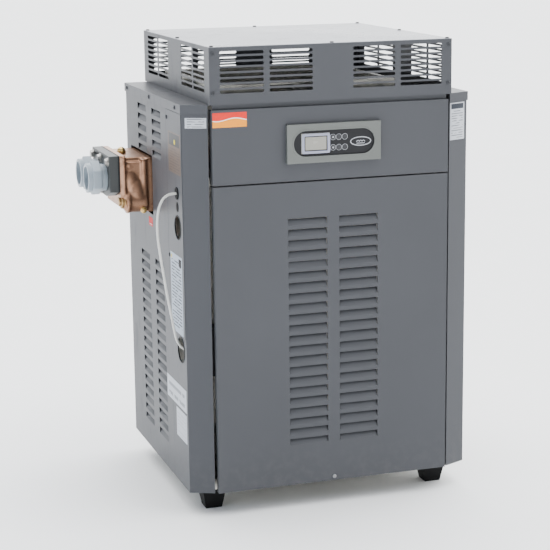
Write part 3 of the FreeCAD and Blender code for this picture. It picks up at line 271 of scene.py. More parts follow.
def cast_metal(name, colour, dark, roughness=0.36, grain=260):
    """Sand-cast metal: pitted skin, darker hollows, handled bright patches."""
    cast = Finish(name, Metallic=0.9)
    skin = cast.noise(grain, 4, 0.62)
    pits = cast.steps(cast.cells(grain * 1.6, 0), 0.16, 0.30)
    tone = cast.noise(22, 5, 0.62)
    patina = cast.steps(cast.noise(48, 6, 0.7), 0.48, 0.72)
    base = cast.mix(tone, shade(colour, 0.78), shade(colour, 1.20))
    base = cast.mix(patina * 0.55, base, dark)
    base = cast.mix((1 - pits) * 0.35, base, shade(dark, 0.6))
    cast.set(Base_Color=base, Roughness=skin * 0.22 + patina * 0.14 + (roughness - 0.10))
    return cast.bump(skin * 0.8 + pits * 0.3, 0.35, 0.0005)


def moulded(name, colour, roughness, grain=900, depth=0.18, metallic=0.0, mottle=0.10, coat=0.0,
            shine=0.3):
    """Injection-moulded plastic: fine spark texture, faint flow tone and scuffs."""
    plastic = Finish(name, Metallic=metallic, Coat_Weight=coat, Specular_IOR_Level=shine)
    texture = plastic.noise(grain, 2, 0.6)
    flow = plastic.noise(18, 3, 0.5, (1, 1, 0.4))
    scuff = plastic.steps(plastic.noise(150, 5, 0.75), 0.60, 0.78)
    base = plastic.mix(flow, shade(colour, 1 - mottle), shade(colour, 1 + mottle))
    base = plastic.mix(scuff * 0.12, base, shade(colour, 1.5))
    plastic.set(Base_Color=base, Roughness=texture * 0.10 + scuff * 0.12 + (roughness - 0.05))
    return plastic.bump(texture, depth, 0.00015)


def fibre_board(name):
    board = Finish(name, Roughness=0.95)
    fibres = board.noise(340, 6, 0.7, (1, 0.3, 1))
    clumps = board.noise(38, 4, 0.6)
    scorch = board.steps(board.noise(11, 4, 0.6), 0.5, 0.8)
    base = board.mix(clumps, (0.78, 0.73, 0.64), (0.90, 0.87, 0.80))
    base = board.mix(scorch * 0.35, base, (0.42, 0.33, 0.24))
    board.set(Base_Color=base)
    return board.bump(fibres * 0.7 + clumps * 0.6, 0.6, 0.0012)


def rubber(name, colour=(0.022, 0.022, 0.023)):
    sheet = Finish(name, Specular_IOR_Level=0.15)
    skin = sheet.noise(700, 3, 0.6)
    bloom = sheet.steps(sheet.noise(55, 5, 0.65), 0.5, 0.75)
    sheet.set(Base_Color=sheet.mix(bloom * 0.4, colour, (0.075, 0.074, 0.072)),
              Roughness=skin * 0.12 + bloom * 0.12 + 0.58)
    return sheet.bump(skin, 0.25, 0.0002)


def circuit_laminate(name):
    """Green laminate with copper tracks under the mask and bright pads."""
    board = Finish(name, Coat_Weight=0.3)
    tracks_a = board.x.part(0.0042).within(0.42, 0.55) * board.steps(board.noise(45, 0), 0.46, 0.50)
    tracks_b = board.z.part(0.0036).within(0.40, 0.56) * board.steps(board.noise(38, 0), 0.52, 0.56)
    tracks = board.steps(tracks_a + tracks_b, 0.2, 0.8)
    pads = (board.cells(260, 0) < 0.14) * 1.0
    base = board.mix(tracks, (0.010, 0.085, 0.035), (0.028, 0.19, 0.07))
    base = board.mix(pads, base, (0.70, 0.68, 0.62))
    board.set(Base_Color=base, Metallic=pads * 0.8, Roughness=0.42 - pads * 0.15)
    return board.bump(tracks + pads, 0.3, 0.0001)


def display_glass(name):
    """The display: a warm grey panel behind clear plastic, with faint segment ghosts."""
    glass = Finish(name, Coat_Weight=0.7, Coat_Roughness=0.06)
    rows = glass.z.part(0.0062).within(0.25, 0.8)
    columns = glass.x.part(0.0036).within(0.2, 0.85)
    ghost = rows * columns * 0.10
    glow = glass.noise(30, 2)
    base = glass.mix(glow, (0.20, 0.195, 0.165), (0.26, 0.25, 0.215))
    glass.set(Base_Color=glass.mix(ghost, base, (0.22, 0.22, 0.20)), Roughness=glow * 0.08 + 0.22)
    return glass.bump(glass.noise(900, 1), 0.04, 0.00005)


def cable_jacket(name):
    jacket = Finish(name, Specular_IOR_Level=0.45)
    ripple = jacket.noise(260, 3, 0.5)
    grime = jacket.steps(jacket.noise(80, 5, 0.7), 0.50, 0.78)
    base = jacket.mix(grime * 0.35, (0.58, 0.575, 0.545), (0.42, 0.41, 0.37))
    jacket.set(Base_Color=base, Roughness=ripple * 0.12 + grime * 0.15 + 0.34)
    return jacket.bump(ripple, 0.18, 0.0002)


def printed_plate(name, paper, ink, pitch, low, high, axis="y", cover=0.5, roughness=0.38, heading=0.0,
                  metallic=0.0, heading_colour=(0.05, 0.05, 0.05)):
    """A plate or film printed with plain ruled bars: no lettering."""
    plate = Finish(name, Metallic=metallic, Specular_IOR_Level=0.05)
    across = plate.y if axis == "y" else plate.x
    depth = (plate.z - low.z) / (high.z - low.z)
    edge_low = min(low.y, high.y) if axis == "y" else min(low.x, high.x)
    wide = abs(high.y - low.y) if axis == "y" else abs(high.x - low.x)
    along = (across - edge_low) / wide
    rows = plate.z.part(pitch).within(0.30, 0.68)
    breaks = plate.steps(plate.noise(1, 1, 0.5, (55, 55, 1 / pitch)), 0.40, 0.43)
    inside = along.within(0.09, 0.91) * depth.within(0.05, 0.93 - heading)
    ruled = rows * breaks * inside * cover
    fade = plate.noise(34, 4, 0.6)
    base = plate.mix(fade, shade(paper, 0.93), shade(paper, 1.05))
    base = plate.mix(ruled, base, ink)
    if heading:
        band = depth.within(0.97 - heading, 0.97) * along.within(0.06, 0.94)
        base = plate.mix(band, base, heading_colour)
    plate.set(Base_Color=base, Roughness=fade * 0.12 + ruled * 0.08 + (roughness - 0.06))
    return plate.bump(ruled * 0.5 + plate.noise(500, 2), 0.10, 0.00008)


def two_tone_film(name, lower, upper, split_z):
    """A film in two bands of colour with a pale wavy line between them."""
    film = Finish(name, Specular_IOR_Level=0.2)
    wave = film.node("ShaderNodeMath", {"operation": "SINE"}, {0: film.x * 90.0 + 1.2})
    height = film.z - split_z - wave * 0.0028
    base = film.mix(film.steps(height, -0.0002, 0.0002), lower, upper)
    base = film.mix(height.within(-0.0009, 0.0009), base, (0.88, 0.86, 0.80))
    grain = film.noise(220, 3)
    base = film.mix(grain * 0.05, base, (0.9, 0.6, 0.4))
    film.set(Base_Color=base, Roughness=grain * 0.10 + 0.30)
    return film.bump(grain, 0.06, 0.00008)


def make_finishes():
    return {
        "cabinet_paint": powder_coat("cabinet_paint", PAINT),
        # The cage cover wears the same powder coat as the cabinet. Its base colour is made about three
        # times lighter as a painted reflection, standing in for the pale sheen the bright studio gives its
        # top at a grazing angle.
        "cover_paint": powder_coat("cover_paint", (0.215, 0.22, 0.24), 0.30),
        "galvanised": spangled_zinc("galvanised", (0.62, 0.61, 0.56), soot=0.10),
        "burner_steel": spangled_zinc("burner_steel", (0.42, 0.39, 0.36), 0.42, soot=0.35),
        "screw_steel": bare_metal("screw_steel", (0.34, 0.34, 0.35), 0.34, (1, 1, 1)),
        "bolt_steel": bare_metal("bolt_steel", (0.40, 0.39, 0.37), 0.36, (1, 1, 1), stained=0.55),
        "foot_plastic": moulded("foot_plastic", (0.006, 0.006, 0.0065), 0.60, 500, 0.35, shine=0.12),
        "header_bronze": cast_metal("header_bronze", (0.36, 0.20, 0.125), (0.075, 0.038, 0.024)),
        "fitting_brass": bare_metal("fitting_brass", (0.72, 0.50, 0.20), 0.28, (1, 1, 1),
                                    (0.20, 0.11, 0.05), 0.35),
        "dull_brass": bare_metal("dull_brass", (0.40, 0.26, 0.12), 0.40, (1, 1, 1),
                                 (0.10, 0.055, 0.03), 0.6),
        "tube_copper": bare_metal("tube_copper", (0.72, 0.36, 0.22), 0.30, (40, 1, 1),
                                  (0.16, 0.07, 0.05), 0.45),
        "sheet_steel": bare_metal("sheet_steel", (0.38, 0.37, 0.36), 0.42, (1, 30, 1), stained=0.4),
        "flange_plastic": moulded("flange_plastic", (0.050, 0.053, 0.053), 0.46, 420, 0.35),
        "connector_plastic": moulded("connector_plastic", (0.27, 0.315, 0.355), 0.32, 700, 0.10, coat=0.10),
        "gasket_rubber": rubber("gasket_rubber"),
        "refractory": fibre_board("refractory"),
        "gas_iron": cast_metal("gas_iron", (0.06, 0.06, 0.062), (0.03, 0.018, 0.012), 0.50, 420),
        "valve_aluminium": cast_metal("valve_aluminium", (0.62, 0.62, 0.61), (0.30, 0.29, 0.28), 0.40, 520),
        "knob_plastic": moulded("knob_plastic", (0.03, 0.03, 0.032), 0.42),
        "bezel_plastic": moulded("bezel_plastic", (0.125, 0.132, 0.125), 0.36, 1400, 0.12, metallic=0.35),
        "fascia_plastic": moulded("fascia_plastic", (0.018, 0.018, 0.020), 0.45, 1800, 0.12, shine=0.15),
        "display_glass": display_glass("display_glass"),
        "key_plastic": moulded("key_plastic", (0.032, 0.032, 0.036), 0.34, 1600, 0.10),
        "mark_ink": moulded("mark_ink", (0.42, 0.43, 0.46), 0.36, 1500, 0.08),
        "frame_lilac": moulded("frame_lilac", (0.30, 0.31, 0.40), 0.32, 1500, 0.08),
        "dark_ink": moulded("dark_ink", (0.010, 0.010, 0.012), 0.50, 1500, 0.08, shine=0.05),
        "yellow_ink": moulded("yellow_ink", (0.62, 0.52, 0.02), 0.45, 1500, 0.08, shine=0.05),
        "red_film": moulded("red_film", (0.55, 0.010, 0.014), 0.45, 1500, 0.08, shine=0.05),
        "painted_screw": powder_coat("painted_screw", shade(PAINT, 0.8), 0.36),
        "black_screw": bare_metal("black_screw", (0.030, 0.030, 0.032), 0.38, (1, 1, 1), metallic=0.4),
        "band_film": two_tone_film("band_film", (0.90, 0.30, 0.004), (0.72, 0.012, 0.008),
                                   at(0, 0, 741.0).z),
        "board_laminate": circuit_laminate("board_laminate"),
        "module_plastic": moulded("module_plastic", (0.030, 0.031, 0.034), 0.48, 700, 0.25),
        "bush_plastic": moulded("bush_plastic", (0.008, 0.008, 0.009), 0.60, 700, 0.20, shine=0.05),
        "cable_jacket": cable_jacket("cable_jacket"),
    }


# ---- modelling ----

def clear_selection():
    bpy.ops.object.select_all(action="DESELECT")


def choose(piece):
    """Leaves this piece alone selected and active, as the operators want it."""
    clear_selection()
    piece.select_set(True)
    bpy.context.view_layer.objects.active = piece


def named(name):
    piece = bpy.context.object
    piece.name = name
    piece.data.name = name
    bpy.ops.object.transform_apply(location=True, rotation=True, scale=True)
    return piece


def new_block(name, low, high):
    clear_selection()
    bpy.ops.mesh.primitive_cube_add(size=1, location=(low + high) / 2, scale=high - low)
    return named(name)


ROD_TURNS = {"X": (0, math.pi / 2, 0), "Y": (math.pi / 2, 0, 0), "Z": (0, 0, 0)}


def new_rod(name, axis, middle, radius, length, sides=40):
    clear_selection()
    bpy.ops.mesh.primitive_cylinder_add(vertices=sides, radius=radius, depth=length, location=middle,
                                        rotation=ROD_TURNS[axis])
    return named(name)


def new_ball(name, middle, scale):
    clear_selection()
    bpy.ops.mesh.primitive_uv_sphere_add(segments=36, ring_count=18, radius=1, location=middle, scale=scale)
    return named(name)


@contextmanager
def editing(piece, test):
    """Edit mode, with the faces chosen whose normal and middle pass the test."""
    choose(piece)
    mesh = piece.data
    for group in (mesh.vertices, mesh.edges, mesh.polygons):
        group.foreach_set("select", [False] * len(group))
    for face in mesh.polygons:
        face.select = bool(test(face.normal, face.center))
    bpy.ops.object.mode_set(mode="EDIT")
    bpy.ops.mesh.select_mode(type="FACE")
    yield
    bpy.ops.object.mode_set(mode="OBJECT")


def facing(direction):
    """A test for the faces that look one way."""
    way = Vector(direction)
    return lambda normal, _middle: normal.dot(way) > 0.9


def apply_modifier(piece, kind, **settings):
    choose(piece)
    modifier = piece.modifiers.new(kind.lower(), kind)
    for key, value in settings.items():
        setattr(modifier, key, value)
    bpy.ops.object.modifier_apply(modifier=modifier.name)


def round_edges(piece, width, segments=3):
    apply_modifier(piece, "BEVEL", width=width, segments=segments, limit_method="ANGLE",
                   angle_limit=math.radians(28))
    smooth(piece)


def smooth(piece, angle=35):
    choose(piece)
    bpy.ops.object.shade_smooth_by_angle(angle=math.radians(angle))


def combine(operation, piece, others):
    for other in others:
        apply_modifier(piece, "BOOLEAN", operation=operation, solver="EXACT", object=other)
        bpy.data.objects.remove(other)


def cut_away(piece, *cutters):
    combine("DIFFERENCE", piece, cutters)


def fuse(piece, *others):
    combine("UNION", piece, others)


def join(name, pieces):
    clear_selection()
    for piece in pieces:
        piece.select_set(True)
    bpy.context.view_layer.objects.active = pieces[0]
    bpy.ops.object.join()
    joined = bpy.context.object
    joined.name = name
    joined.data.name = name
    return joined


def copies(piece, places):
    """The same piece at several places, each with its own mesh; the pattern itself is used up."""
    made = []
    for place in places:
        copy = piece.copy()
        copy.data = piece.data.copy()
        copy.data.transform(place)
        bpy.context.scene.collection.objects.link(copy)
        made.append(copy)
    bpy.data.objects.remove(piece)
    return made


def dress(piece, finish, body="cabinet", replaces=()):
    piece.data.materials.clear()
    piece.data.materials.append(FINISHES[finish].material if isinstance(finish, str) else finish.material)
    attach(piece, body)
    if replaces:
        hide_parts(*replaces)
    return piece


# ---- CAD sub-parts ----

SOFT_EDGES = {
    "left_side_panel": 0.35, "right_side_panel": 0.35, "rear_panel": 0.35, "front_door": 0.5,
    "control_panel": 0.5, "top_panel": 0.5, "access_cover": 0.3, "cage_cover": 0.5, "pipe_flange": 1.6,
    "flange_bolts": 0.7,
    "control_bezel": 0.9, "foot_front_left": 2.2, "foot_front_right": 2.2, "foot_rear_left": 2.2,
    "foot_rear_right": 2.2, "cable_bush": 0.6, "ignition_module": 2.0, "gas_valve": 2.5,
    "gas_valve_knob": 1.0, "pressure_switch": 1.5, "return_header": 3.0,
    "flue_collector": 0.4, "gas_pipe": 0.8, "base_pan": 0.4, "burner_tray": 0.4, "front_rail": 0.4,
    "key_mode": 0.3, "key_up": 0.3, "key_down": 0.3, "key_program": 0.3, "key_pool": 0.3, "key_spa": 0.3,
}


def dress_cad_nodes():
    """Each CAD sub-part takes its slot's finish and, where it shows, softened edges."""
    for part in frame["record"]["subparts"]:
        node = frame["nodes"][part["node"]]
        finish = "bolt_steel" if part["node"] == "flange_bolts" else part["material_slot"]
        for slot in node.material_slots:
            slot.material = FINISHES[finish].material
        width = SOFT_EDGES.get(part["node"])
        if width:
            weld = node.modifiers.new("weld", "WELD")
            weld.merge_threshold = 0.00002
            bevel = node.modifiers.new("bevel", "BEVEL")
            bevel.width = width * MM
            bevel.segments = 2
            bevel.limit_method = "ANGLE"
            bevel.angle_limit = math.radians(32)
            bevel.harden_normals = True


# ---- supply cable ----

CABLE_ROUTE = [
    (-297.2, 62.0, 595.0), (-308.2, 62.0, 595.0), (-318.4, 61.4, 590.9), (-326.3, 60.6, 583.2),
    (-331.8, 59.8, 572.0), (-335.6, 59.0, 556.4), (-337.5, 58.4, 536.5), (-337.0, 58.0, 512.0),
    (-333.6, 58.6, 482.0), (-328.0, 59.8, 445.0), (-321.6, 60.8, 403.0), (-314.4, 61.6, 362.0),
    (-308.2, 61.8, 326.0), (-303.4, 62.2, 303.0), (-297.0, 62.4, 291.7), (-287.9, 62.4, 284.0),
    (-274.0, 62.0, 279.6), (-262.0, 62.0, 279.6),
]


def hang_cable():
    line = bpy.data.curves.new("supply_cable_line", "CURVE")
    line.dimensions = "3D"
    spline = line.splines.new("NURBS")
    spline.points.add(len(CABLE_ROUTE) - 1)
    for point, place in zip(spline.points, CABLE_ROUTE):
        point.co = (*at(*place), 1)
    spline.order_u = 3
    spline.use_endpoint_u = True
    spline.resolution_u = 10
    line.bevel_depth = 0.0025
    line.bevel_resolution = 5
    line.use_fill_caps = True
    cable = bpy.data.objects.new("supply_cable_jacket", line)
    bpy.context.scene.collection.objects.link(cable)
    dress(cable, "cable_jacket", replaces=("supply_cable",))


# ---- screws, bolts and washers ----

def pan_screw(name):
    """A pan-head screw standing on +Z, with a cross recess in its domed head."""
    head = new_rod(name, "Z", Vector((0, 0, 0.0011)), 0.004, 0.0022, 28)
    with editing(head, facing((0, 0, 1))):
        bpy.ops.mesh.bevel(offset=0.0013, segments=4, affect="EDGES")
    slots = [new_block(name + "_slot", Vector((-a, -b, 0.0009)), Vector((a, b, 0.004)))
             for a, b in ((0.0021, 0.00045), (0.00045, 0.0021))]
    cut_away(head, *slots)
    smooth(head, 40)
    return head


def turned(axis, direction, x, y, z, spin=0.0):
    """Moves a piece that stands on +Z to a place, standing along the axis."""
    tilt = {"X": Matrix.Rotation(direction * math.pi / 2, 4, "Y"),
            "Y": Matrix.Rotation(-direction * math.pi / 2, 4, "X"),
            "Z": Matrix.Identity(4)}[axis]
    return Matrix.Translation(at(x, y, z)) @ tilt @ Matrix.Rotation(spin, 4, "Z")


def fit_screws():
    side_x, rear_y, middle = 239.65, 491.5, 244.5
    cover = [("Z", 1, x, y, 878.5) for x in (-side_x, 0, side_x) for y in (-2.5, middle, rear_y)
             if (x, y) != (0, middle)]
    corner = [("Y", -1, s * side_x, -9.5, z) for s in (-1, 1) for z in (792, 866.6)]
    lid = [("X", s, s * 296.6, y, 761.2) for s in (-1, 1) for y in (62, 264.99, 457.8)]
    lid += [("Y", 1, x, 481.8, 761.2) for x in (-220.7, 0, 220.7)]
    lid += [("X", -1, -295.5, 130, z) for z in (328, 462, 735.5)]
    for name, spots, node, body, finish in (
            ("cover_screw_heads", cover, "cage_screws", "cabinet", "black_screw"),
            ("cage_corner_screws", corner, None, "cabinet", "painted_screw"),
            ("jacket_screw_heads", lid, "jacket_screws", "cabinet", "painted_screw"),
            ("door_screw_head", [("Y", -1, 0, -6, 9.4)], "door_screw", "door", "screw_steel")):
        pattern = pan_screw(name + "_pattern")
        places = [turned(*spot, spin=0.7 * n) for n, spot in enumerate(spots)]
        dress(join(name, copies(pattern, places)), finish, body, (node,) if node else ())


def fit_washers():
    """A plain and a split washer under each flange bolt's head."""
    plain = new_rod("washer_pattern", "Z", Vector((0, 0, 0.0008)), 0.0096, 0.0016, 36)
    round_edges(plain, 0.0003, 2)
    split = new_rod("split_pattern", "Z", Vector((0, 0, 0.0026)), 0.0082, 0.0018, 36)
    cut_away(split, new_block("split_gap", Vector((0.004, -0.0004, 0)), Vector((0.012, 0.0004, 0.006))))
    pattern = join("washer_stack", [plain, split])
    spots = ((284, 630), (353, 630), (422, 630), (353, 565))
    places = [turned("X", -1, WASHER_FACE, y, z, spin=n) for n, (y, z) in enumerate(spots)]
    dress(join("flange_washers", copies(pattern, places)), "bolt_steel")


# ---- water header ----

def block(name, x, y, z):
    """A block from its three spans in the cabinet's millimetres."""
    return new_block(name, at(x[0], y[0], z[0]), at(x[1], y[1], z[1]))


def rod(name, axis, span, middle, radius, sides=48):
    """A round bar along an axis; middle is its place on the other two axes, in X, Y, Z order."""
    index = "XYZ".index(axis)
    spot = list(middle)
    spot.insert(index, (span[0] + span[1]) / 2)
    return new_rod(name, axis, at(*spot), radius * MM, (span[1] - span[0]) * MM, sides)


def ball(name, place, radii):
    return new_ball(name, at(*place), Vector(radii) * MM)


def cast_header():
    """The bronze casting: a pipe flange, a chest with ribs and a swelling, and the manifold behind it."""
    masses = [
        block("flange_back", (-359.3, -347.3), (272, 434), (556, 643)),
        block("chest", (-352, -298), (272, 434), (530, 629)),
        block("chest_top", (-349, -300), (284, 428), (600, 637)),
        block("panel_rib", (-314, -305), (267, 439), (528, 634)),
        block("neck", (-303, -270), (270, 436), (525, 636)),
        block("manifold", (-272, -248), (92, 438), (555, 635)),
        rod("bypass_barrel", "X", (-347, -304), BYPASS_SPOT, 23),
        rod("bypass_rim", "X", (-347.3, -341), BYPASS_SPOT, 25),
        rod("governor_boss", "Z", (628, 637), GOVERNOR_SPOT, 17),
        rod("flange_bead", "Z", (562, 640), (-351, 272), 4.5),
        ball("front_swell", (-324, 277, 562), (19, 13, 33)),
        ball("elbow_swell", (-337, 277, 590), (17, 9, 24)),
        ball("rear_swell", (-324, 430, 562), (19, 12, 33)),
        ball("under_swell", (-326, 353, 534), (22, 66, 12)),
    ]
    casting = join("header_casting", masses)
    apply_modifier(casting, "REMESH", mode="VOXEL", voxel_size=0.0019)
    apply_modifier(casting, "SMOOTH", factor=0.5, iterations=6)
    waterways = [rod("waterway", "X", (-365, -315), (y, PORT_Z), 20) for y in PORT_Y.values()]
    recess = ball("recess", (-343.5, 267, 619), (7.5, 6.5, 7.5))
    bore = rod("bypass_way", "X", (-352, -303.3), BYPASS_SPOT, 12.7)
    seat = rod("bypass_seat", "X", (-306, -296), BYPASS_SPOT, 9)
    cut_away(casting, *waterways, recess, bore, seat)
    smooth(casting, 50)
    dress(casting, "header_bronze", replaces=("inout_header",))


def header_fittings():
    """Brass on the casting: the governor's dome, the bypass cap and the drain plug."""
    base = rod("governor_hex", "Z", (637, 642), GOVERNOR_SPOT, 10.2, 6)
    round_edges(base, 0.0008)
    collar = rod("governor_collar", "Z", (641, 643.5), GOVERNOR_SPOT, 9.2)
    round_edges(collar, 0.0006)
    dome = ball("governor_ball", (*GOVERNOR_SPOT, 643), (8.3, 8.3, 7.5))
    smooth(dome)
    dress(join("governor_dome", [base, collar, dome]), "fitting_brass",
          replaces=("governor_cap",))
    steps = []
    for name, span, radius, sides, width in (("cap_rim", (-351.5, -347.3), 16.2, 48, 1.2),
                                             ("cap_drum", (-357, -351), 14.4, 48, 1.5),
                                             ("cap_hex", (-361.3, -356.5), 9.5, 6, 0.8)):
        step = rod(name, "X", span, BYPASS_SPOT, radius, sides)
        round_edges(step, width * MM)
        steps.append(step)
    dress(join("bypass_cap_turned", steps), "dull_brass", replaces=("bypass_cap",))
    plug = rod("plug_collar", "Y", (264.5, 268), (-313.3, 530), 6.6, 40)
    round_edges(plug, 0.0006)
    square = block("plug_square", (-317.1, -309.5), (259, 265), (526.2, 533.8))
    round_edges(square, 0.0007)
    dress(join("drain_plug_square", [plug, square]), "fitting_brass",
          replaces=("drain_plug",))


def pipe_unions():
    """Two moulded connectors: a round mouth, a six-sided grip and a plain collar at the flange."""
    for port, y in PORT_Y.items():
        name, middle = port + "_union", (y, PORT_Z)
        body = rod(name, "X", (-420.8, -408), middle, 30)
        round_edges(body, 0.0012)
        grip = new_rod(name + "_grip", "Z", Vector((0, 0, 0)), 0.0353, 0.0185, 6)
        grip.data.transform(turned("X", -1, -402.2, y, PORT_Z, spin=math.pi / 2))
        round_edges(grip, 0.0022)
        collar = rod(name + "_collar", "X", (-394, WASHER_FACE), middle, 27.4)
        round_edges(collar, 0.0008)
        bead = rod(name + "_bead", "X", (-389.5, -386.5), middle, 28.2)
        round_edges(bead, 0.0008)
        fuse(body, grip, collar, bead)
        cut_away(body, rod("pipe_socket", "X", (-430, -388.8), middle, 24.25),
                 rod("pipe_way", "X", (-430, -370), middle, 20))
        smooth(body, 30)
        dress(body, "connector_plastic", replaces=(port + "_connector",))


# ---- control panel ----

def flat_pill(name, y, run, z, radius):
    """A level slot-shaped plate, from two round ends and the block between them."""
    plate = rod(name, "Y", y, (-run, z), radius, 72)
    other = rod(name + "_end", "Y", y, (run, z), radius, 72)
    middle = block(name + "_middle", (-run, run), y, (z - radius, z + radius))
    fuse(plate, other, middle)
    return plate


def rounded_plate(name, x, y, z, corner):
    """A plate across Y whose four corners are rounded."""
    plate = block(name, x, y, z)
    mesh = plate.data
    choose(plate)
    for edge in mesh.edges:
        a, b = (mesh.vertices[i].co for i in edge.vertices)
        edge.select = abs(a.y - b.y) > 1e-5
    for face in mesh.polygons:
        face.select = False
    bpy.context.tool_settings.mesh_select_mode = (False, True, False)
    bpy.ops.object.mode_set(mode="EDIT")
    bpy.ops.mesh.bevel(offset=corner * MM, segments=6, affect="EDGES")
    bpy.ops.object.mode_set(mode="OBJECT")
    return plate


def frame_display():
    """The raised pale frame round the display, with a dark line inside it."""
    rim = rounded_plate("display_rim", (-66, -8.5), (-14.4, -12.5), (668.2, 706.9), 4)
    cut_away(rim, rounded_plate("rim_hole", (-60.5, -14), (-16, -10), (673.2, 701.9), 1.5))
    round_edges(rim, 0.0005, 2)
    dress(rim, "frame_lilac")
    line = rounded_plate("display_gasket", (-61.5, -13), (-13.9, -13.3), (672.2, 702.9), 1.5)
    cut_away(line, rounded_plate("gasket_hole", (-59, -15.5), (-16, -10), (674.7, 700.4), 0.8))
    dress(line, "dark_ink")


def mark_keys():
    """A pale ring round each key, and a small arrow on the two that step up and down."""
    rings = []
    for name, (x, z) in KEY_SPOTS.items():
        ring = rod(name + "_ring", "Y", KEY_RING, (x, z), 6.0, 48)
        cut_away(ring, rod(name + "_ring_hole", "Y", THROUGH_FASCIA, (x, z), 5.35, 48))
        rings.append(ring)
    dress(join("key_rings", rings), "mark_ink")
    for name, spin in (("key_up", 0), ("key_down", math.pi)):
        x, z = KEY_SPOTS[name]
        arrow = new_rod(name + "_arrow", "Z", Vector((0, 0, 0)), 0.0026, 0.0004, 3)
        arrow.data.transform(turned("Y", -1, x, -13.65, z, spin=spin))
        round_edges(arrow, 0.00012, 2)
        dress(arrow, "mark_ink", name + "_body")


def oval(name, y, half_wide, half_high):
    """An oval plate across Y, at the badge's place."""
    plate = rod(name, "Y", y, (0, 0), half_wide, 64)
    x, z = BADGE_SPOT
    plate.data.transform(Matrix.Translation(at(x, 0, z)) @ Matrix.Diagonal((1, 1, half_high / half_wide, 1))
                         @ Matrix.Translation(-at(0, 0, 0)))
    return plate


def fit_badge():
    """A plain oval badge: a pale rim with three level waves inside it."""
    rim = oval("oval_badge", BADGE_RIM, 21.7, 9)
    cut_away(rim, oval("badge_hole", (-15, -10), 19.9, 7.3))
    round_edges(rim, 0.00015, 2)
    waves = [rim, block("badge_bar", (46.5, 63.3), BADGE_WAVE, (682.9, 684.1))]
    wave_z, wave_pitch = 686.2, 5.6
    for n in (-1, 0, 1):
        spot = (BADGE_SPOT[0] + wave_pitch * n, wave_z)
        crest = rod("wave", "Y", BADGE_WAVE, spot, 3.3, 32)
        cut_away(crest, rod("wave_inner", "Y", THROUGH_FASCIA, spot, 2.1, 32),
                 block("wave_low", (30, 80), THROUGH_FASCIA, (670, wave_z)))
        waves.append(crest)
    dress(join("oval_badge", waves), "mark_ink")


def rim_bezel():
    """The sloping lip round the bezel's slot-shaped window."""
    lip = flat_pill("bezel_lip", (-15.6, -12.6), BEZEL_HALF_RUN, BEZEL_Z, 27.6)
    cut_away(lip, flat_pill("lip_hole", (-17, -11), BEZEL_HALF_RUN, BEZEL_Z, 24.7))
    round_edges(lip, 0.0011, 4)
    dress(lip, "bezel_plastic")


# ---- films and labels ----

def film(name, finish, x, y, z):
    """A thin printed film on a flat face."""
    sheet = block(name, x, y, z)
    round_edges(sheet, 0.00004, 1)
    return dress(sheet, finish)


def side_labels():
    """The printed plates on the access cover and the left panel."""
    for name, x, y, z, paper, pitch, cover_share, heading, metallic, colour in (
            ("rating_plate", COVER_FILM, (30, 120), (632, 711), (0.13, 0.098, 0.080), 0.0052, 0.45, 0.30,
             0.2, (0.040, 0.041, 0.044)),
            ("wiring_chart", COVER_FILM, (37, 124), (314, 471), (0.36, 0.41, 0.48), 0.0065, 0.95, 0, 0,
             DARK_PRINT),
            ("gas_label", SKIN_FILM, (32, 180), (160, 206), WHITE_PAPER, 0.0190, 0.55, 0, 0, DARK_PRINT),
            ("check_label", SKIN_FILM, (33, 111), (95.7, 154.5), WHITE_PAPER, 0.0075, 0.16, 0, 0,
             DARK_PRINT)):
        low, high = at(0, y[0], z[0]), at(0, y[1], z[1])
        plate = printed_plate(name, paper, DARK_PRINT, pitch, low, high, "y", cover_share, heading=heading,
                              metallic=metallic, heading_colour=colour)
        film(name, plate, x, y, z)


def corner_labels():
    """A label on each slanted front corner of the jacket."""
    across, back = CHAMFER_MIDDLE
    for name, side, (foot, head), heading in (("left_corner_label", -1, (725.3, 745), 0),
                                              ("right_corner_label", 1, (676, 750), 0.14)):
        half = Vector((0.0205, 0.0001, 0))
        sheet = new_block(name, -half, half + Vector((0, 0, (head - foot) * MM)))
        sheet.data.transform(Matrix.Translation(at(side * across, back, foot))
                             @ Matrix.Rotation(side * CHAMFER_LEAN, 4, "Z"))
        round_edges(sheet, 0.00006, 2)
        low, high = at(side * across - 18.5, 0, foot), at(side * across + 18.5, 0, head)
        dress(sheet, printed_plate(name, WHITE_PAPER, DARK_PRINT, 0.0048, low, high, "x", 0.7,
                                   heading=heading, heading_colour=DARK_PRINT))


def fit_labels():
    film("band_sticker", "band_film", (-240.9, -173.3), (-6.18, -5.98), (726.4, 754.4))
    side_labels()
    film("chart_spot_yellow", "yellow_ink", COVER_MARK, (112, 119), (459, 466))
    film("chart_block", "dark_ink", COVER_MARK, (42, 62), (451, 466))
    film("red_sticker", "red_film", SKIN_FILM, (269, 301), (493, 511))
    film("red_sticker_line", "mark_ink", SKIN_MARK, (274, 296), (495.5, 497.5))
    spot = rod("plate_spot", "X", COVER_SPOT, (72, 693), 5, 48)
    round_edges(spot, 0.00006, 2)
    dress(spot, "yellow_ink")
    corner_labels()


# ---- side openings ----

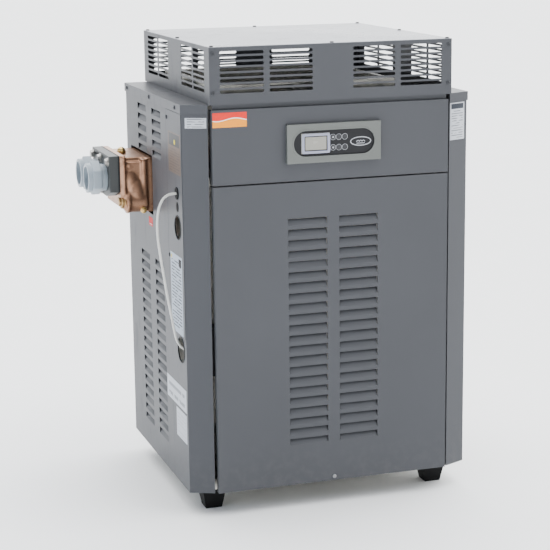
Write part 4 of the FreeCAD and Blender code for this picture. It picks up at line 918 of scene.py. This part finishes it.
def trim_openings():
    """Rubber edging round the wiring holes, a slotted knockout disc, and a dark rubber strip behind the
    cover's rear edge that paints the shadow line along that edge.
    """
    lip = 1.4
    for name, x, z, radius in (("wiring_edging", -295, 528, 23.2), ("entry_edging", -294, 283, 25.2)):
        edging = rod(name, "X", (x - lip, x + lip), (WIRING_Y, z), radius + lip, 96)
        cut_away(edging, rod(name + "_bore", "X", (x - 3, x + 3), (WIRING_Y, z), radius - lip, 96))
        round_edges(edging, 0.0011, 4)
        dress(edging, "gasket_rubber")
    disc = rod("knockout_disc", "X", (-295.7, -294.8), (WIRING_Y, 568), 9.7, 40)
    cut_away(disc, block("knockout_slot", (-297, -293), (60.4, 63.6), (561, 575)))
    round_edges(disc, 0.0002, 2)
    dress(disc, "dark_ink")
    # A dark strip behind the access cover's rear edge: painted shadow, standing in for the dark line the
    # cover's edge throws on the panel.
    edge_shadow_strip = block("cover_edge_shadow_strip", (-295.4, -294.35), (136, 137.3), (312, 751))
    round_edges(edge_shadow_strip, 0.0002, 2)
    dress(edge_shadow_strip, "gasket_rubber")


def fold_edges():
    """The rounded folds along the edges of the door and the control panel."""
    inset = 0.6
    for name, body, (foot, head) in (("door_folds", "door", (1.0, 612.6)),
                                     ("panel_folds", "cabinet", (615.6, 759.7))):
        folds = [rod(f"{name}_{side}", "Z", (foot + inset, head - inset), (side * FOLD_X, FOLD_Y),
                     FOLD_RADIUS, 24) for side in (-1, 1)]
        folds += [rod(f"{name}_{level}", "X", (-240.9, 240.9), (FOLD_Y, level), FOLD_RADIUS, 24)
                  for level in (foot + 2 * inset, head - 2 * inset)]
        for fold in folds:
            round_edges(fold, inset * MM, 2)
        dress(join(name, folds), "cabinet_paint", body)


aim_camera()
FINISHES = make_finishes()
dress_cad_nodes()
hang_cable()
fit_screws()
fit_washers()
cast_header()
header_fittings()
pipe_unions()
frame_display()
mark_keys()
fit_badge()
rim_bezel()
fit_labels()
trim_openings()
fold_edges()


# ---- studio ----

def glow_overhead(world):
    """Light from all round, strongest from above, behind and the right, with a pale horizon."""
    tree = world.node_tree
    place = tree.nodes.new("ShaderNodeTexCoord")

    def ramp(direction, spans):
        along = tree.nodes.new("ShaderNodeVectorMath")
        along.operation = "DOT_PRODUCT"
        along.inputs[1].default_value = direction
        tree.links.new(place.outputs["Generated"], along.inputs[0])
        rise = tree.nodes.new("ShaderNodeMapRange")
        rise.interpolation_type = "SMOOTHSTEP"
        for socket, value in zip(("From Min", "From Max", "To Min", "To Max"), spans):
            rise.inputs[socket].default_value = value
        tree.links.new(along.outputs["Value"], rise.inputs["Value"])
        return rise.outputs[0]

    total = tree.nodes.new("ShaderNodeMath")
    tree.links.new(ramp((0.42, 0.38, 0.82), (0.15, 0.85, DIM_SIDE, BRIGHT_TOP)), total.inputs[0])
    tree.links.new(ramp((0, 0, 1), (0.02, 0.09, PALE_HORIZON, 0)), total.inputs[1])
    shader = tree.nodes["Background"]
    shader.inputs["Color"].default_value = (0.965, 0.985, 1.0, 1)
    tree.links.new(total.outputs[0], shader.inputs["Strength"])


def studio():
    clear_selection()
    bpy.ops.mesh.primitive_plane_add(size=120, location=(0, 0, 0))
    floor = named("floor")
    ground = Finish("floor_paper", Roughness=0.9, Specular_IOR_Level=0.1)
    ground.set(Base_Color=ground.mix(ground.noise(3, 2), (0.93, 0.93, 0.93), (0.96, 0.96, 0.96)))
    floor.data.materials.append(ground.material)
    world = bpy.data.worlds.new("studio")
    world.use_nodes = True
    glow_overhead(world)
    bpy.context.scene.world = world
    for name, place, target, size, power, colour in (
            ("left", (-3.2, -1.2, 1.2), (0, 0, 0.5), 1.8, 26, (0.50, 0.72, 1)),
            ("front", (1.6, -3.4, 1.8), (0, 0, 0.5), 1.8, 3, (1, 0.98, 0.95))):
        lamp = bpy.data.lights.new(name, "AREA")
        lamp.size = size
        lamp.energy = power
        lamp.color = colour
        light = bpy.data.objects.new(name, lamp)
        aim = (Vector(target) - Vector(place)).to_track_quat("-Z", "Y")
        light.matrix_world = Matrix.Translation(place) @ aim.to_matrix().to_4x4()
        bpy.context.scene.collection.objects.link(light)


studio()
